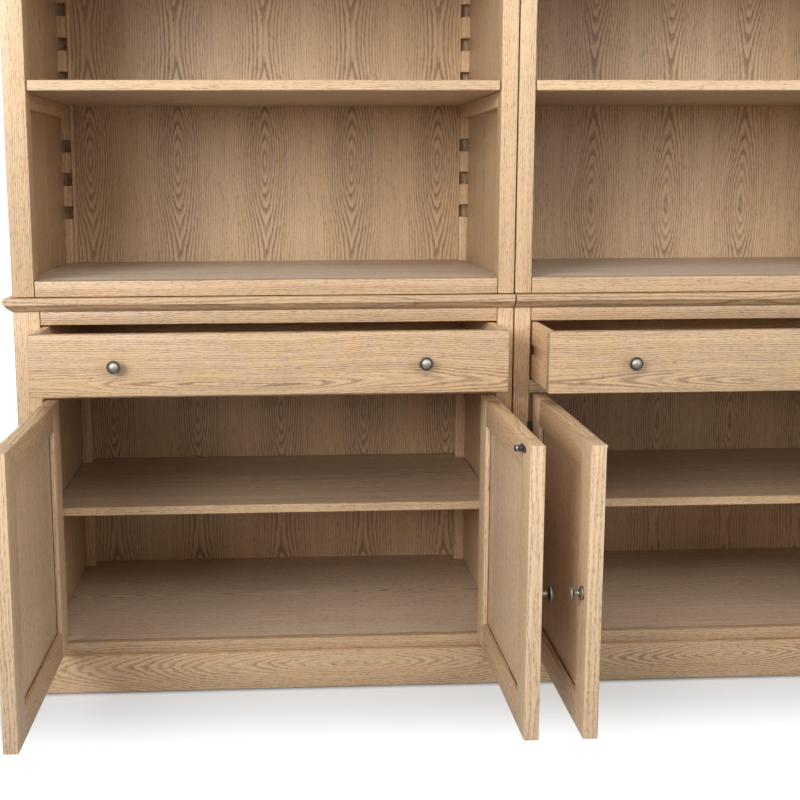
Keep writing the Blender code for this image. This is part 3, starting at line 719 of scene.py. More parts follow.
def prism_mesh(points, run, span):
    """A closed mesh from an outline carried between two places along an axis."""
    board = bmesh.new()
    others = [i for i in range(3) if i != run]
    ends = []
    for place in span:
        ring = []
        for first, second in points:
            corner = [0, 0, 0]
            corner[run] = place
            corner[others[0]] = first
            corner[others[1]] = second
            ring.append(board.verts.new(corner))
        ends.append(ring)
    board.faces.new(ends[0])
    board.faces.new(list(reversed(ends[1])))
    count = len(points)
    for index in range(count):
        following = (index + 1) % count
        board.faces.new((ends[0][following], ends[0][index], ends[1][index], ends[1][following]))
    bmesh.ops.recalc_face_normals(board, faces=board.faces)
    return board


def slice_board(board, point, normal):
    """Cut away what lies beyond a plane and close the cut."""
    cut = bmesh.ops.bisect_plane(
        board,
        geom=list(board.verts) + list(board.edges) + list(board.faces),
        plane_co=point,
        plane_no=normal,
        clear_outer=True,
    )
    rim = [item for item in cut["geom_cut"] if isinstance(item, bmesh.types.BMEdge)]
    bmesh.ops.edgeloop_fill(board, edges=rim)
    bmesh.ops.recalc_face_normals(board, faces=board.faces)


def row_tree():
    """Node tree that repeats the carrier's own mesh in a row: a rack's teeth, or a leaf's screws."""
    name = "row_of_copies"
    if name in bpy.data.node_groups:
        return bpy.data.node_groups[name]
    tree = bpy.data.node_groups.new(name, "GeometryNodeTree")
    face = tree.interface
    for label, kind in (
        ("Template", "NodeSocketGeometry"),
        ("First Place", "NodeSocketVector"),
        ("Step", "NodeSocketVector"),
        ("Count", "NodeSocketInt"),
        ("Finish", "NodeSocketMaterial"),
    ):
        face.new_socket(label, in_out="INPUT", socket_type=kind)
    face.new_socket("Row", in_out="OUTPUT", socket_type="NodeSocketGeometry")
    given = tree.nodes.new("NodeGroupInput")
    result = tree.nodes.new("NodeGroupOutput")
    line = tree.nodes.new("GeometryNodeMeshLine")
    copies = tree.nodes.new("GeometryNodeInstanceOnPoints")
    real = tree.nodes.new("GeometryNodeRealizeInstances")
    paint = tree.nodes.new("GeometryNodeSetMaterial")
    for start, end in (
        (given.outputs["First Place"], line.inputs["Start Location"]),
        (given.outputs["Step"], line.inputs["Offset"]),
        (given.outputs["Count"], line.inputs["Count"]),
        (given.outputs["Finish"], paint.inputs["Material"]),
        (line.outputs["Mesh"], copies.inputs["Points"]),
        (given.outputs["Template"], copies.inputs["Instance"]),
        (copies.outputs["Instances"], real.inputs["Geometry"]),
        (real.outputs["Geometry"], paint.inputs["Geometry"]),
        (paint.outputs["Geometry"], result.inputs["Row"]),
    ):
        tree.links.new(start, end)
    return tree


def row_of(template, first, step, count, material):
    """Run the row tree once on a template mesh and hand back the copies as one bmesh."""
    tree = row_tree()
    carrier = bpy.data.objects.new("row_carrier", bpy.data.meshes.new("row_carrier"))
    template.to_mesh(carrier.data)
    template.free()
    bpy.context.scene.collection.objects.link(carrier)
    modifier = carrier.modifiers.new("row", "NODES")
    modifier.node_group = tree
    wanted = {"First Place": first, "Step": step, "Count": count, "Finish": make_material(material)}
    for item in tree.interface.items_tree:
        if item.in_out == "INPUT" and item.name in wanted:
            modifier[item.identifier] = wanted[item.name]
    bpy.context.view_layer.update()
    depsgraph = bpy.context.evaluated_depsgraph_get()
    data = bpy.data.meshes.new_from_object(carrier.evaluated_get(depsgraph))
    bpy.data.objects.remove(carrier, do_unlink=True)
    copies = bmesh.new()
    copies.from_mesh(data)
    bpy.data.meshes.remove(data)
    return copies


def hutch_floor_top(prefix):
    """The hutch floor lies a little below the top of the rail in front of it."""
    return high(f"{prefix}_hutch_floor").z - sizes().rail_lip


def notch_floor(prefix):
    """Height of the lowest notch on one bay."""
    return hutch_floor_top(prefix) + sizes().first_notch


def panel_face(prefix, part, outer):
    """Distance from the seam to a side panel's inner face, told by the back fitted between the panels."""
    near, far = reach(f"{prefix}_{part}_back")
    return far + sizes().seat if outer else near - sizes().seat


def rack(piece, prefix, xs, ys, top_z):
    """Teeth between the notches, with the long plain tooth under the first notch."""
    s = sizes()
    first_floor = notch_floor(prefix)
    tooth = s.notch_pitch - s.notch_height
    half_spans = ((xs[1] - xs[0]) / 2, (ys[1] - ys[0]) / 2, tooth / 2)
    template = box_mesh(*[(-half, half) for half in half_spans])
    first_place = (sum(xs) / 2, sum(ys) / 2, first_floor + s.notch_height + tooth / 2)
    teeth = row_of(template, first_place, (0, 0, s.notch_pitch), s.notch_count - 1, "light_oak")
    piece.add(teeth, 2, ease=s.ease / 2, segments=1, bold=0.2)
    piece.box(xs, ys, (hutch_floor_top(prefix), first_floor), 2, bold=0.2)
    last_z = first_floor + (s.notch_count - 1) * s.notch_pitch + s.notch_height
    piece.box(xs, ys, (last_z, top_z), 2)


def cleat_heights(prefix):
    """Lowest and highest point of each cleat, just under its shelf."""
    s = sizes()
    first_floor = notch_floor(prefix)
    spans = []
    for label in ("lower", "middle", "upper"):
        seat_z = low(f"{prefix}_shelf_{label}").z
        notch = round((seat_z - first_floor - s.notch_height) / s.notch_pitch)
        spans.append((first_floor + notch * s.notch_pitch, seat_z))
    return spans


def side_shell(piece, side, outer, plan, zs, foot_z=0):
    """The front post or stile of a side, and the panel behind it.

    plan holds how near the seam the post and the panel come, and the post's depth. foot_z is
    where the post starts.
    """
    s = sizes()
    post_face, face, depth = plan
    edge = OUTER_X if outer else SEAM_X + s.shadow_line
    post_z = (max(foot_z, zs[0]), zs[1])
    front = {"thin": 1, "ease": 1.3 * s.ease, "segments": 3}
    piece.box(across(side, edge, post_face), along_y(0, depth), post_z, 2, **front)
    panel_y = (FRONT_Y + depth + s.joint / 2, BACK_Y)
    # The side panel is darkened: painted shade on its inner face, which the light only grazes
    piece.box(across(side, edge, face), panel_y, zs, 2, cut="flat", bold=0.8)


def build_hutch_side(prefix, side, outer):
    """A side of the hutch: post, panel, rear batten, the two notched racks and three cleats."""
    s = sizes()
    part = "outer" if outer else "seam"
    node = f"{prefix}_hutch_{part}_side"
    zs = (low(node).z + s.shadow_line, high(node).z)
    step = -1 if outer else 1
    face = panel_face(prefix, "hutch", outer)
    post_face = OUTER_X - s.post_width if outer else STILE_SEAM_X - s.seat
    piece = Joinery(node + "_boards")
    side_shell(piece, side, outer, (post_face, face, s.post_depth), zs)
    root_y = BACK_FACE_Y - s.batten_depth
    front_y = FRONT_Y + s.post_depth
    batten_width = s.outer_batten if outer else s.seam_batten
    batten_z = (hutch_floor_top(prefix), zs[1])
    beside = across(side, face + step * (s.rack_width + s.joint), face + step * batten_width)
    piece.box(beside, (root_y, BACK_FACE_Y), batten_z, 2, bold=0.2)
    rack_x = across(side, face, face + step * s.rack_width)
    rack(piece, prefix, rack_x, (root_y - s.tooth_depth, BACK_FACE_Y), zs[1])
    front_rack_x = across(side, face, face + step * s.front_rack_width)
    rack(piece, prefix, front_rack_x, (front_y, front_y + s.batten_depth), zs[1])
    for low_z, high_z in cleat_heights(prefix):
        piece.box(rack_x, (front_y, root_y), (low_z, high_z - s.joint / 2), 1)
    piece.build("carcass", [node])


def build_base_side(prefix, side, outer):
    """A side of the base: stile, panel, rear batten, glides, drawer runner and shelf pins."""
    s = sizes()
    fit = bpy.context.scene.base_fittings
    part = "outer" if outer else "seam"
    node = f"{prefix}_base_{part}_side"
    lowest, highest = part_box(node)
    step = -1 if outer else 1
    face = panel_face(prefix, "base", outer)
    post_face = STILE_OUTER_X + s.seat if outer else STILE_SEAM_X - s.seat
    piece = Joinery(node + "_boards")
    zs = (lowest.z + fit.glide_height, highest.z)
    foot_z = high(f"{prefix}_plinth").z + s.joint
    side_shell(piece, side, outer, (post_face, face, s.stile_depth), zs, foot_z)
    r, top = fit.glide_radius, 1.2 * fit.glide_height
    glide = [(0, 0), (0.8 * r, 0), (0.95 * r, 0.1 * r), (r, 0.25 * r), (r, top), (0, top)]
    middle = ((OUTER_X if outer else SEAM_X) + face) / 2
    for glide_y in (FRONT_Y + fit.glide_inset, BACK_Y - fit.glide_inset):
        piece.take(turned_mesh(glide, 2, (side * middle, glide_y, lowest.z)), 1)
    batten_y = BACK_FACE_Y - fit.batten_depth
    batten_z = (high(f"{prefix}_base_floor").z, highest.z)
    piece.box(across(side, face, face + step * fit.batten_width), (batten_y, BACK_FACE_Y), batten_z, 2)
    inner_x = reach(node)[0 if outer else 1]
    runner_y = (FRONT_Y + fit.runner_front, BACK_FACE_Y - fit.runner_end)
    piece.box(across(side, face, inner_x), runner_y, runner_heights(prefix), 1)
    shelf = f"{prefix}_cupboard_shelf"
    for pin_y in (low(shelf).y + fit.pin_inset, batten_y - fit.pin_inset):
        r, tip = fit.pin_radius, side * step * fit.pin_length
        pin = [(0, -tip / 5), (r, -tip / 5), (r, tip * 0.9), (r * 0.7, tip), (0, tip)]
        piece.take(turned_mesh(pin, 0, (side * face, pin_y, low(shelf).z - s.seat - r), 16), 1)
    piece.build("carcass", [node], ("light_oak", "dull_zinc"))


def runner_heights(prefix):
    """The runner lies at the middle of the drawer front's height."""
    lowest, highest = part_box(f"{prefix}_drawer_front")
    middle = (lowest.z + highest.z) / 2
    half = bpy.context.scene.base_fittings.runner_height / 2
    return (middle - half, middle + half)


def build_whole_boards(prefix, side):
    """Boards that are one piece of wood each: plinth, mid rail and shelves."""
    s = sizes()
    node = f"{prefix}_plinth"
    piece = Joinery(node + "_board")
    span_z = (bpy.context.scene.base_fittings.glide_height, high(node).z)
    figure = {"cut": "flat", "heart": (-0.012, side * 0.009), "rise": -side * 0.145, "bold": 0.62}
    span_x = across(side, SEAM_X + s.shadow_line, OUTER_X)
    piece.box(span_x, along_y(0, s.stile_depth), span_z, 0, thin=1, **figure)
    piece.build("carcass", [node])
    node = f"{prefix}_mid_rail"
    piece = Joinery(node + "_board")
    piece.box(*zip(*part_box(node)), 0, thin=1)
    piece.build("carcass", [node])
    for shelf in ("shelf_lower", "shelf_middle", "shelf_upper", "cupboard_shelf"):
        build_shelf(f"{prefix}_{shelf}")


def build_shelf(node):
    """A shelf in two pieces: the board, and the plain lipping glued to its front."""
    seam_y = low(node).y + sizes().lipping
    piece = Joinery(node + "_board")
    front = {"thin": 1, "bold": 0.4}
    # The top is darker and greyer than the lipping: painted shade and a painted sheen on a top seen at a
    # glancing angle, with the board's own tint
    top = {"thin": 2, "cut": "flat", "bold": 0.8, "faded": 0.4}
    for normal_y, figure in ((1, front), (-1, top)):
        board = cad_board(node)
        slice_board(board, Vector((0, seam_y, 0)), Vector((0, normal_y, 0)))
        piece.add(board, 0, ease=0, **figure)
    piece.build("carcass", [node])


def cad_board(node):
    """A closed copy of a CAD node's mesh with its doubles merged and its flat faces whole."""
    board = bmesh.new()
    board.from_mesh(frame["nodes"][node].data)
    for layer in list(board.loops.layers.uv):
        board.loops.layers.uv.remove(layer)
    bmesh.ops.remove_doubles(board, verts=board.verts, dist=0.00001)
    bmesh.ops.dissolve_limit(board, angle_limit=math.radians(0.3), verts=board.verts, edges=board.edges)
    return board


def build_floors(prefix, side):
    """The base floor with its edge strip, and the hutch floor with its front rail."""
    s = sizes()
    node = f"{prefix}_base_floor"
    lowest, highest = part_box(node)
    piece = Joinery(node + "_boards")
    strip_x = across(side, STILE_SEAM_X, STILE_OUTER_X)
    strip_y = along_y(s.strip_front, s.strip_back)
    piece.box(strip_x, strip_y, (lowest.z, highest.z), 0, thin=1)
    board_y = (strip_y[1] + s.joint, highest.y)
    board_z = (lowest.z, highest.z - s.joint / 2)
    # The floor board is greyed: a painted sheen on a top seen at a glancing angle, with the board's own
    # tint
    piece.box((lowest.x, highest.x), board_y, board_z, 0, cut="flat", thin=2, faded=0.6)
    piece.build("carcass", [node])

    node = f"{prefix}_hutch_floor"
    lowest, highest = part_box(node)
    piece = Joinery(node + "_boards")
    rail_x = across(side, STILE_SEAM_X + s.shadow_line, OUTER_X - s.post_width - s.seat - s.shadow_line)
    rail_z = (lowest.z + s.shadow_line, highest.z)
    piece.box(rail_x, along_y(0, s.stile_depth), rail_z, 0, thin=1, ease=1.3 * s.ease, segments=3)
    floor_z = (hutch_floor_top(prefix) - s.floor_board, hutch_floor_top(prefix))
    # The hutch floor is greyed most: a painted sheen on a top seen at a glancing angle, with the boards'
    # own tint
    piece.box(rail_x, along_y(s.stile_depth + s.joint / 2, s.post_depth + s.joint), floor_z, 0, faded=1)
    board_y = (FRONT_Y + s.post_depth + s.joint, highest.y)
    piece.box((lowest.x, highest.x), board_y, floor_z, 0, cut="flat", thin=2, faded=1)
    piece.build("carcass", [node])


def leaf_edges(span, pitch, centre):
    """Places where a back's leaves meet, and both ends of its span, without a sliver at the start."""
    edges = [span[0]]
    steps = math.ceil((span[0] - centre + pitch / 2) / pitch)
    place = centre - pitch / 2 + steps * pitch
    while place < span[1]:
        if place > edges[-1] + pitch / 10:
            edges.append(place)
        place += pitch
    return edges + [span[1]]


def build_backs(prefix, side):
    """Back panels laid up from leaves of one veneer, so that the same eye repeats."""
    # Width of a leaf, distance of one leaf's middle from the seam, and height of one of its eyes
    layup = {
        "left_hutch_back": (bpy.context.scene.oak_finish.leaf_pitch, 0.4822, 1.060),
        "right_hutch_back": (0.180, 0.4645, 0.955),
        "left_base_back": (0.1985, 0.4509, 0.47),
        "right_base_back": (0.180, 0.4645, 0.43),
    }
    for name in ("hutch_back", "base_back"):
        node = f"{prefix}_{name}"
        pitch, centre, eye_z = layup[node]
        lowest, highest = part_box(node)
        edges = leaf_edges(reach(node), pitch, centre)
        piece = Joinery(node + "_veneer")
        for near, far in zip(edges, edges[1:]):
            middle = (near + far) / 2
            # The first and the last leaf are cut, so their whole edge tells where their middle was
            if near == edges[0]:
                middle = far - pitch / 2
            if far == edges[-1]:
                middle = near + pitch / 2
            heart_x = side * (centre + round((middle - centre) / pitch) * pitch)
            xs = across(side, near, far)
            figure = {
                "tone": 0.31 if side < 0 else 0.64,
                "start": (lowest.z + highest.z) / 2 - eye_z,
                "heart": (sum(xs) / 2 - heart_x, 0.028),
            }
            piece.box(xs, (lowest.y, highest.y), (lowest.z, highest.z), 2, ease=0, **figure)
        piece.build("carcass", [node], ("oak_veneer",), slot="back_oak")


def moulding_points(overhang, height):
    """Half section of the moulded edge, out from the face at 0 and up from its underside."""
    m = bpy.context.scene.moulding_sizes
    foot = height - m.fascia
    points = [(m.strip, 0), (m.strip, height)]
    for step in range(m.steps + 1):
        turn = math.pi / 2 * step / m.steps
        points.append((m.nose * (1 - math.sin(turn)) - overhang, height - m.nose * (1 - math.cos(turn))))
    points.append((-overhang, foot))
    for step in range(2 * m.steps + 1):
        share = step / (2 * m.steps)
        bulge = m.bulge * math.sin(math.pi * share)
        points.append(((m.quirk - overhang) * (1 - share) - bulge, foot * (1 - share) - bulge))
    return points


def build_moulded(prefix, side, name, rail_span):
    """A moulded board: two strips mitred at the outer corner, a board inside them, a rail under it."""
    s = sizes()
    m = bpy.context.scene.moulding_sizes
    node = f"{prefix}_{name}"
    lowest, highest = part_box(node)
    overhang = FRONT_Y - lowest.y
    bottom_z = highest.z - m.height
    section = moulding_points(overhang, m.height)
    seam = SEAM_X + s.shadow_line
    piece = Joinery(node + "_boards")
    corner = Vector((side * (OUTER_X + overhang), FRONT_Y - overhang, 0))
    mitre = Vector((side, 1, 0)).normalized()
    front = [(FRONT_Y + depth, bottom_z + up) for depth, up in section]
    strip = prism_mesh(front, 0, across(side, seam, OUTER_X + overhang))
    slice_board(strip, corner, mitre)
    # The front strip is darkened: painted shade where its round under the fascia faces away from the light
    piece.add(strip, 0, ease=0, thin=2, bold=0.8)
    end = [(side * (OUTER_X - depth), bottom_z + up) for depth, up in section]
    strip = prism_mesh(end, 1, (FRONT_Y - overhang, BACK_Y))
    slice_board(strip, corner, -mitre)
    piece.add(strip, 1, ease=0, thin=2)
    inside = across(side, seam, OUTER_X - m.strip)
    board_y = (FRONT_Y + m.strip, BACK_Y)
    figure = {"cut": "flat", "thin": 2, "bold": 0.4, "ease": s.ease / 4, "segments": 1}
    piece.box(inside, board_y, (bottom_z, highest.z), 0, **figure)
    rail_z = (lowest.z, bottom_z - s.joint / 2)
    near, far = rail_span
    rail_x = across(side, near + s.shadow_line, far - s.shadow_line)
    # The rail is darkened: painted shade under the moulding's overhang
    piece.box(rail_x, along_y(0, s.stile_depth), rail_z, 0, thin=1, bold=0.75)
    piece.build("carcass", [node])


def build_drawer(prefix, side):
    """The drawer front, and the box behind it with a runner groove in each side."""
    s = sizes()
    fit = bpy.context.scene.base_fittings
    node = f"{prefix}_drawer_front"
    piece = Joinery(node + "_board")
    figure = {"cut": "flat", "heart": (0.034, 0.006), "rise": side * 0.055, "bold": 0.8}
    piece.box(*zip(*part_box(node)), 0, thin=1, ease=1.6 * s.ease, segments=3, **figure)
    piece.build(f"{prefix}_drawer", [node])

    node = f"{prefix}_drawer_box"
    lowest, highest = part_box(node)
    piece = Joinery(node + "_boards")
    runner = runner_heights(prefix)
    groove = (runner[0] - s.seat, runner[1] + s.seat)
    for outer_x, inner_x in ((lowest.x, lowest.x + s.drawer_side), (highest.x, highest.x - s.drawer_side)):
        bottom_x = outer_x + math.copysign(fit.groove_depth, inner_x - outer_x)
        section = [
            (outer_x, lowest.z), (inner_x, lowest.z), (inner_x, highest.z), (outer_x, highest.z),
            (outer_x, groove[1]), (bottom_x, groove[1]), (bottom_x, groove[0]), (outer_x, groove[0]),
        ]
        piece.prism(section, 1, (lowest.y, highest.y), 1, thin=0, ease=0.6 * s.ease)
    inside = (lowest.x + s.drawer_side, highest.x - s.drawer_side)
    piece.box(inside, (highest.y - s.drawer_side, highest.y), (lowest.z, highest.z), 0, thin=1)
    bottom = (lowest.z + s.bottom_lift, lowest.z + s.bottom_lift + s.bottom_board)
    piece.box(inside, (lowest.y, highest.y - s.drawer_side), bottom, 0, cut="flat", thin=2, ease=0)
    piece.build(f"{prefix}_drawer", [node])


def hinge_joint(body):
    """The frame's joint that a door turns on."""
    return next(joint for joint in frame["joints"] if joint["name"] == f"{body}_hinge")


def closing_turn(body):
    """Matrix that turns a door from rest to closed about its own hinge line."""
    joint = hinge_joint(body)
    angle = math.radians(joint["range_deg"][0])
    place = Matrix.Translation(joint["pos_m"])
    return place @ Matrix.Rotation(angle, 4, Vector(joint["axis"])) @ place.inverted()


def closed_box(node, turn):
    """X, Y and Z spans of a door's node once its door is closed."""
    return spans_of([turn @ vertex.co for vertex in frame["nodes"][node].data.vertices])


def sloped_section(outer, inner):
    """Section of a door's stile: places across the door and depths, sloped toward the panel."""
    slope = sizes().sticking
    back_y = FRONT_Y + sizes().door_thickness
    rim = inner - math.copysign(slope, inner - outer)
    front = [(outer, FRONT_Y), (rim, FRONT_Y), (inner, FRONT_Y + slope)]
    return front + [(inner, back_y - slope), (rim, back_y), (outer, back_y)]


def edge_strips(span, width):
    """The strips of a width at the two ends of a span, inside it."""
    return ((span[0], span[0] + width), (span[1] - width, span[1]))


def build_door(prefix, side, part):
    """A framed door: stiles, rails coped over their slope, and a panel with a dark line round it."""
    s = sizes()
    body = f"{prefix}_{part}_door"
    turn = closing_turn(body)
    back = turn.inverted()
    panel_x, panel_y, panel_z = closed_box(f"{body}_panel", turn)
    frame_z = (low(f"{body}_frame").z, high(f"{body}_frame").z)
    tongue = (panel_z[1] - panel_z[0] - (frame_z[1] - frame_z[0] - 2 * s.door_rail)) / 2
    window_x = (panel_x[0] + tongue, panel_x[1] - tongue)
    window_z = (frame_z[0] + s.door_rail, frame_z[1] - s.door_rail)
    ends = (window_x[0] - s.door_stile, window_x[1] + s.door_stile)
    piece = Joinery(f"{body}_frame_boards")
    for outer_x, inner_x in zip(ends, window_x):
        piece.prism(sloped_section(outer_x, inner_x), 2, frame_z, 2, thin=1, bold=0.2, faded=0.15)
    cope = s.sticking - s.joint / 2
    for outer_z, inner_z in zip(frame_z, window_z):
        section = [(depth, height) for height, depth in sloped_section(outer_z, inner_z)]
        piece.prism(section, 0, (window_x[0] - cope, window_x[1] + cope), 0, thin=1, bold=0.45)
    piece.build(body, [f"{body}_frame"], turn=back)

    panel = Joinery(f"{body}_panel_veneer")
    core_y = (panel_y[0] + s.panel_groove, panel_y[1] - s.panel_groove)
    field = [(span[0] + s.panel_gap, span[1] - s.panel_gap) for span in (window_x, window_z)]
    place = {"tone": 0.4, "start": 0.2, "heart": (side * 0.13, 0.07), "faded": 0.3}
    panel.box(panel_x, core_y, panel_z, 2, ease=0, **place)
    panel.box(field[0], panel_y, field[1], 2, ease=s.ease / 4, **place)
    stain = {"ease": 0, "bold": 2.5, "tone": 0.4, "start": 0}
    line = s.panel_line
    for face_y in panel_y:
        line_y = (face_y - line, face_y + line)
        for line_x in edge_strips(window_x, line):
            panel.box(line_x, line_y, window_z, 2, **stain)
        for line_z in edge_strips(window_z, line):
            panel.box((window_x[0] + line, window_x[1] - line), line_y, line_z, 0, **stain)
    panel.build(body, [f"{body}_panel"], turn=back)


def knob_sections():
    """Side views of the two knobs as shares of their radius and height, with how worn each ring is."""
    drawer = [
        (0, 1, 0.9), (0.14, 0.996, 0.9), (0.28, 0.982, 0.85), (0.42, 0.958, 0.8), (0.54, 0.925, 0.75),
        (0.64, 0.885, 0.6), (0.71, 0.84, 0.4), (0.75, 0.80, 0.1), (0.77, 0.775, 0), (0.81, 0.775, 0),
        (0.87, 0.79, 0.3), (0.93, 0.785, 0.35), (0.98, 0.755, 0.25), (1, 0.72, 0.15), (0.985, 0.68, 0.05),
        (0.90, 0.64, 0), (0.70, 0.60, 0), (0.48, 0.56, 0.1), (0.38, 0.50, 0.3), (0.34, 0.42, 0.4),
        (0.34, 0.28, 0.4), (0.37, 0.17, 0.3), (0.46, 0.10, 0.4), (0.52, 0.06, 0.5), (0.53, 0.02, 0.2),
        (0.53, 0, 0), (0, 0, 0),
    ]
    door = [
        (0, 1, 1), (0.2, 0.998, 1), (0.45, 0.982, 1), (0.68, 0.955, 1), (0.86, 0.915, 1),
        (0.96, 0.875, 0.9), (1, 0.83, 0.5), (0.985, 0.79, 0.2), (0.92, 0.755, 0), (0.70, 0.71, 0),
        (0.46, 0.665, 0.1), (0.34, 0.61, 0.4), (0.31, 0.52, 0.6), (0.31, 0.34, 0.6), (0.34, 0.26, 0.4),
        (0.46, 0.21, 0.3), (0.66, 0.165, 0.7), (0.80, 0.12, 0.9), (0.88, 0.07, 0.6), (0.90, 0.03, 0.2),
        (0.90, 0, 0), (0, 0, 0),
    ]
    return {"drawer": drawer, "door": door}


def build_knob(node, body, section, turn=None):
    """A turned knob facing -Y, set where its node is."""
    turn = turn or Matrix.Identity(4)
    xs, ys, zs = closed_box(node, turn)
    radius = (zs[1] - zs[0]) / 2
    height = ys[1] - ys[0]
    profile = [(radius * out, -height * up, shine) for out, up, shine in section]
    knob = Piece(node + "_turned")
    knob.take(turned_mesh(profile, 1, (sum(xs) / 2, ys[1], sum(zs) / 2), 48))
    knob.build(body, [node], ("aged_pewter",), turn=turn.inverted(), slot="pewter", angle=60)


def hinge_half(piece, line, toward, z, knuckles, pin=False):
    """A leaf on the wood that lies toward +X or -X of the hinge line, its knuckles and three screws.

    knuckles lists the thirds of the hinge that they fill, from -1 at the bottom to 1 at the top.
    """
    h = bpy.context.scene.hardware_sizes
    x, y = line
    half = h.hinge_height / 2
    third = h.hinge_height / 3
    leaf_x = sorted((x + toward * h.leaf_face, x + toward * h.leaf_root))
    leaf_end = FRONT_Y + h.leaf_depth
    leaf_top = y + h.knuckle_radius
    piece.take(soften(box_mesh(leaf_x, (leaf_top, leaf_end), (z - half, z + half)), h.leaf_ease))
    low_z = (sizes().seat - third) / 2
    chamfer = h.knuckle_radius / 9
    knuckle = [
        (h.knuckle_radius - chamfer, low_z), (h.knuckle_radius, low_z + chamfer),
        (h.knuckle_radius, -low_z - chamfer), (h.knuckle_radius - chamfer, -low_z),
        (h.knuckle_bore, -low_z), (h.knuckle_bore, low_z),
    ]
    neck_y = (y + h.knuckle_radius * 0.6, y + h.knuckle_radius * 1.4)
    for step in knuckles:
        centre = (x, y, z + step * third)
        piece.take(turned_mesh(knuckle, 2, centre, 28, tube=True))
        piece.take(box_mesh(leaf_x, neck_y, (centre[2] + low_z, centre[2] - low_z)))
    if pin:
        rod = [(0, -half), (h.pin_radius, -half), (h.pin_radius, half), (0, half)]
        piece.take(turned_mesh(rod, 2, (x, y, z), 16))
    first = (x + toward * h.leaf_face, y + 0.6 * (leaf_end - y), z - h.screw_step)
    piece.take(screws(first, 0, -toward, 2), 1)


def screws(first, axis, facing, run, count=3):
    """A row of screws by the row tree. axis is the screws' own and run is the row's.

    rise is how far a head's rim stands out; the recess in it is three times as deep.
    """
    h = bpy.context.scene.hardware_sizes
    r = h.screw_radius
    rise = facing * r / 24
    recess, root = -3 * rise, -4 * rise
    profile = [(0, recess), (r / 3, recess), (r / 2.4, 0), (0.9 * r, rise), (r, 0), (r, root), (0, root)]
    step = [0, 0, 0]
    step[run] = h.screw_step
    return row_of(turned_mesh(profile, axis, (0, 0, 0), 14), first, step, count, "dull_zinc")


def build_hinges(prefix, side, part):
    """Both halves of a door's two hinges; the door's halves turn with the door."""
    body = f"{prefix}_{part}_door"
    line = hinge_joint(body)["pos_m"][:2]
    toward_stile = side if part == "outer" else -side
    turn = closing_turn(body)
    door_half = Piece(f"{body}_hinge_halves")
    for place in ("lower", "upper"):
        node = f"{prefix}_{part}_hinge_{place}"
        z = (low(node).z + high(node).z) / 2
        half = Piece(node + "_half")
        hinge_half(half, line, toward_stile, z, (-1, 1), pin=True)
        half.build("carcass", [node], ("black_iron", "dull_zinc"), slot="black_iron")
        hinge_half(door_half, line, -toward_stile, z, (0,))
    door_half.build(body, (), ("black_iron", "dull_zinc"), turn=turn.inverted(), slot="black_iron")


def build_catch(prefix, side):
    """The catch near the top free corner of a seam door: a plate, a banded barrel and two screws."""
    h = bpy.context.scene.hardware_sizes
    body = f"{prefix}_seam_door"
    turn = closing_turn(body)
    door_x = closed_box(f"{body}_frame", turn)[0]
    free_x = max(door_x, key=abs)
    x = free_x - side * h.catch_inset
    z = high(f"{body}_frame").z - h.catch_drop
    back_y = FRONT_Y + sizes().door_thickness
    half_length, half_height = h.catch_length / 2, h.catch_height / 2
    upper = [(1, 0.33), (0.42, 1), (-0.42, 1), (-1, 0.33)]
    corners = [(-wide, -tall) for wide, tall in upper] + upper
    outline = [(x + wide * half_length, z + tall * half_height) for wide, tall in corners]
    plate_y = (back_y - h.catch_sink, back_y + h.catch_plate)
    catch = Piece(f"{body}_catch")
    catch.take(soften(prism_mesh(outline, 1, plate_y), h.catch_ease))
    r, end = h.barrel_radius, h.barrel_length
    profile = [
        (0, 0), (1.12 * r, 0), (1.12 * r, 0.08 * end), (0.92 * r, 0.14 * end), (0.92 * r, 0.66 * end),
        (r, 0.70 * end), (r, 0.95 * end), (0.92 * r, end), (0.5 * r, end), (0.5 * r, 0.97 * end),
        (0, 0.97 * end),
    ]
    root = (x, plate_y[1] - 2 * h.catch_sink, z)
    catch.take(turned_mesh(profile, 1, root, 28))
    band = [
        (1.005 * r, 0.72 * end), (1.03 * r, 0.74 * end), (1.03 * r, 0.84 * end),
        (1.005 * r, 0.86 * end), (0.9 * r, 0.86 * end), (0.9 * r, 0.72 * end),
    ]
    catch.take(turned_mesh(band, 1, root, 28, tube=True), 1)
    for step in (-1, 1):
        catch.take(screws((x + step * 0.72 * half_length, plate_y[1], z), 1, 1, 0, 1), 1)
    catch.build(body, (), ("black_iron", "dull_zinc"), turn=turn.inverted(), slot="black_iron")


class BOOKCASE_OT_hutch(bpy.types.Operator):
    """Build the hutches' sides with their racks, and their crowns"""

    bl_idname = "bookcase.hutch"
    bl_label = "Hutch"

    def execute(self, context):
        for prefix, side in SIDES.items():
            build_hutch_side(prefix, side, True)
            build_hutch_side(prefix, side, False)
            post_face = OUTER_X - sizes().post_width - sizes().seat
            build_moulded(prefix, side, "hutch_crown", (STILE_SEAM_X, post_face))
        return {"FINISHED"}


class BOOKCASE_OT_boards(bpy.types.Operator):
    """Build the plain boards: plinths, rails, floors, shelves and veneered backs"""

    bl_idname = "bookcase.boards"
    bl_label = "Boards and backs"

    def execute(self, context):
        for prefix, side in SIDES.items():
            build_whole_boards(prefix, side)
            build_floors(prefix, side)
            build_backs(prefix, side)
        return {"FINISHED"}


class BOOKCASE_OT_base(bpy.types.Operator):
    """Build the base cabinets: sides, waist boards and drawers"""

    bl_idname = "bookcase.base"
    bl_label = "Base"

    def execute(self, context):
        for prefix, side in SIDES.items():
            build_base_side(prefix, side, True)
            build_base_side(prefix, side, False)
            build_moulded(prefix, side, "waist_top", (STILE_SEAM_X, STILE_OUTER_X))
            build_drawer(prefix, side)
        return {"FINISHED"}


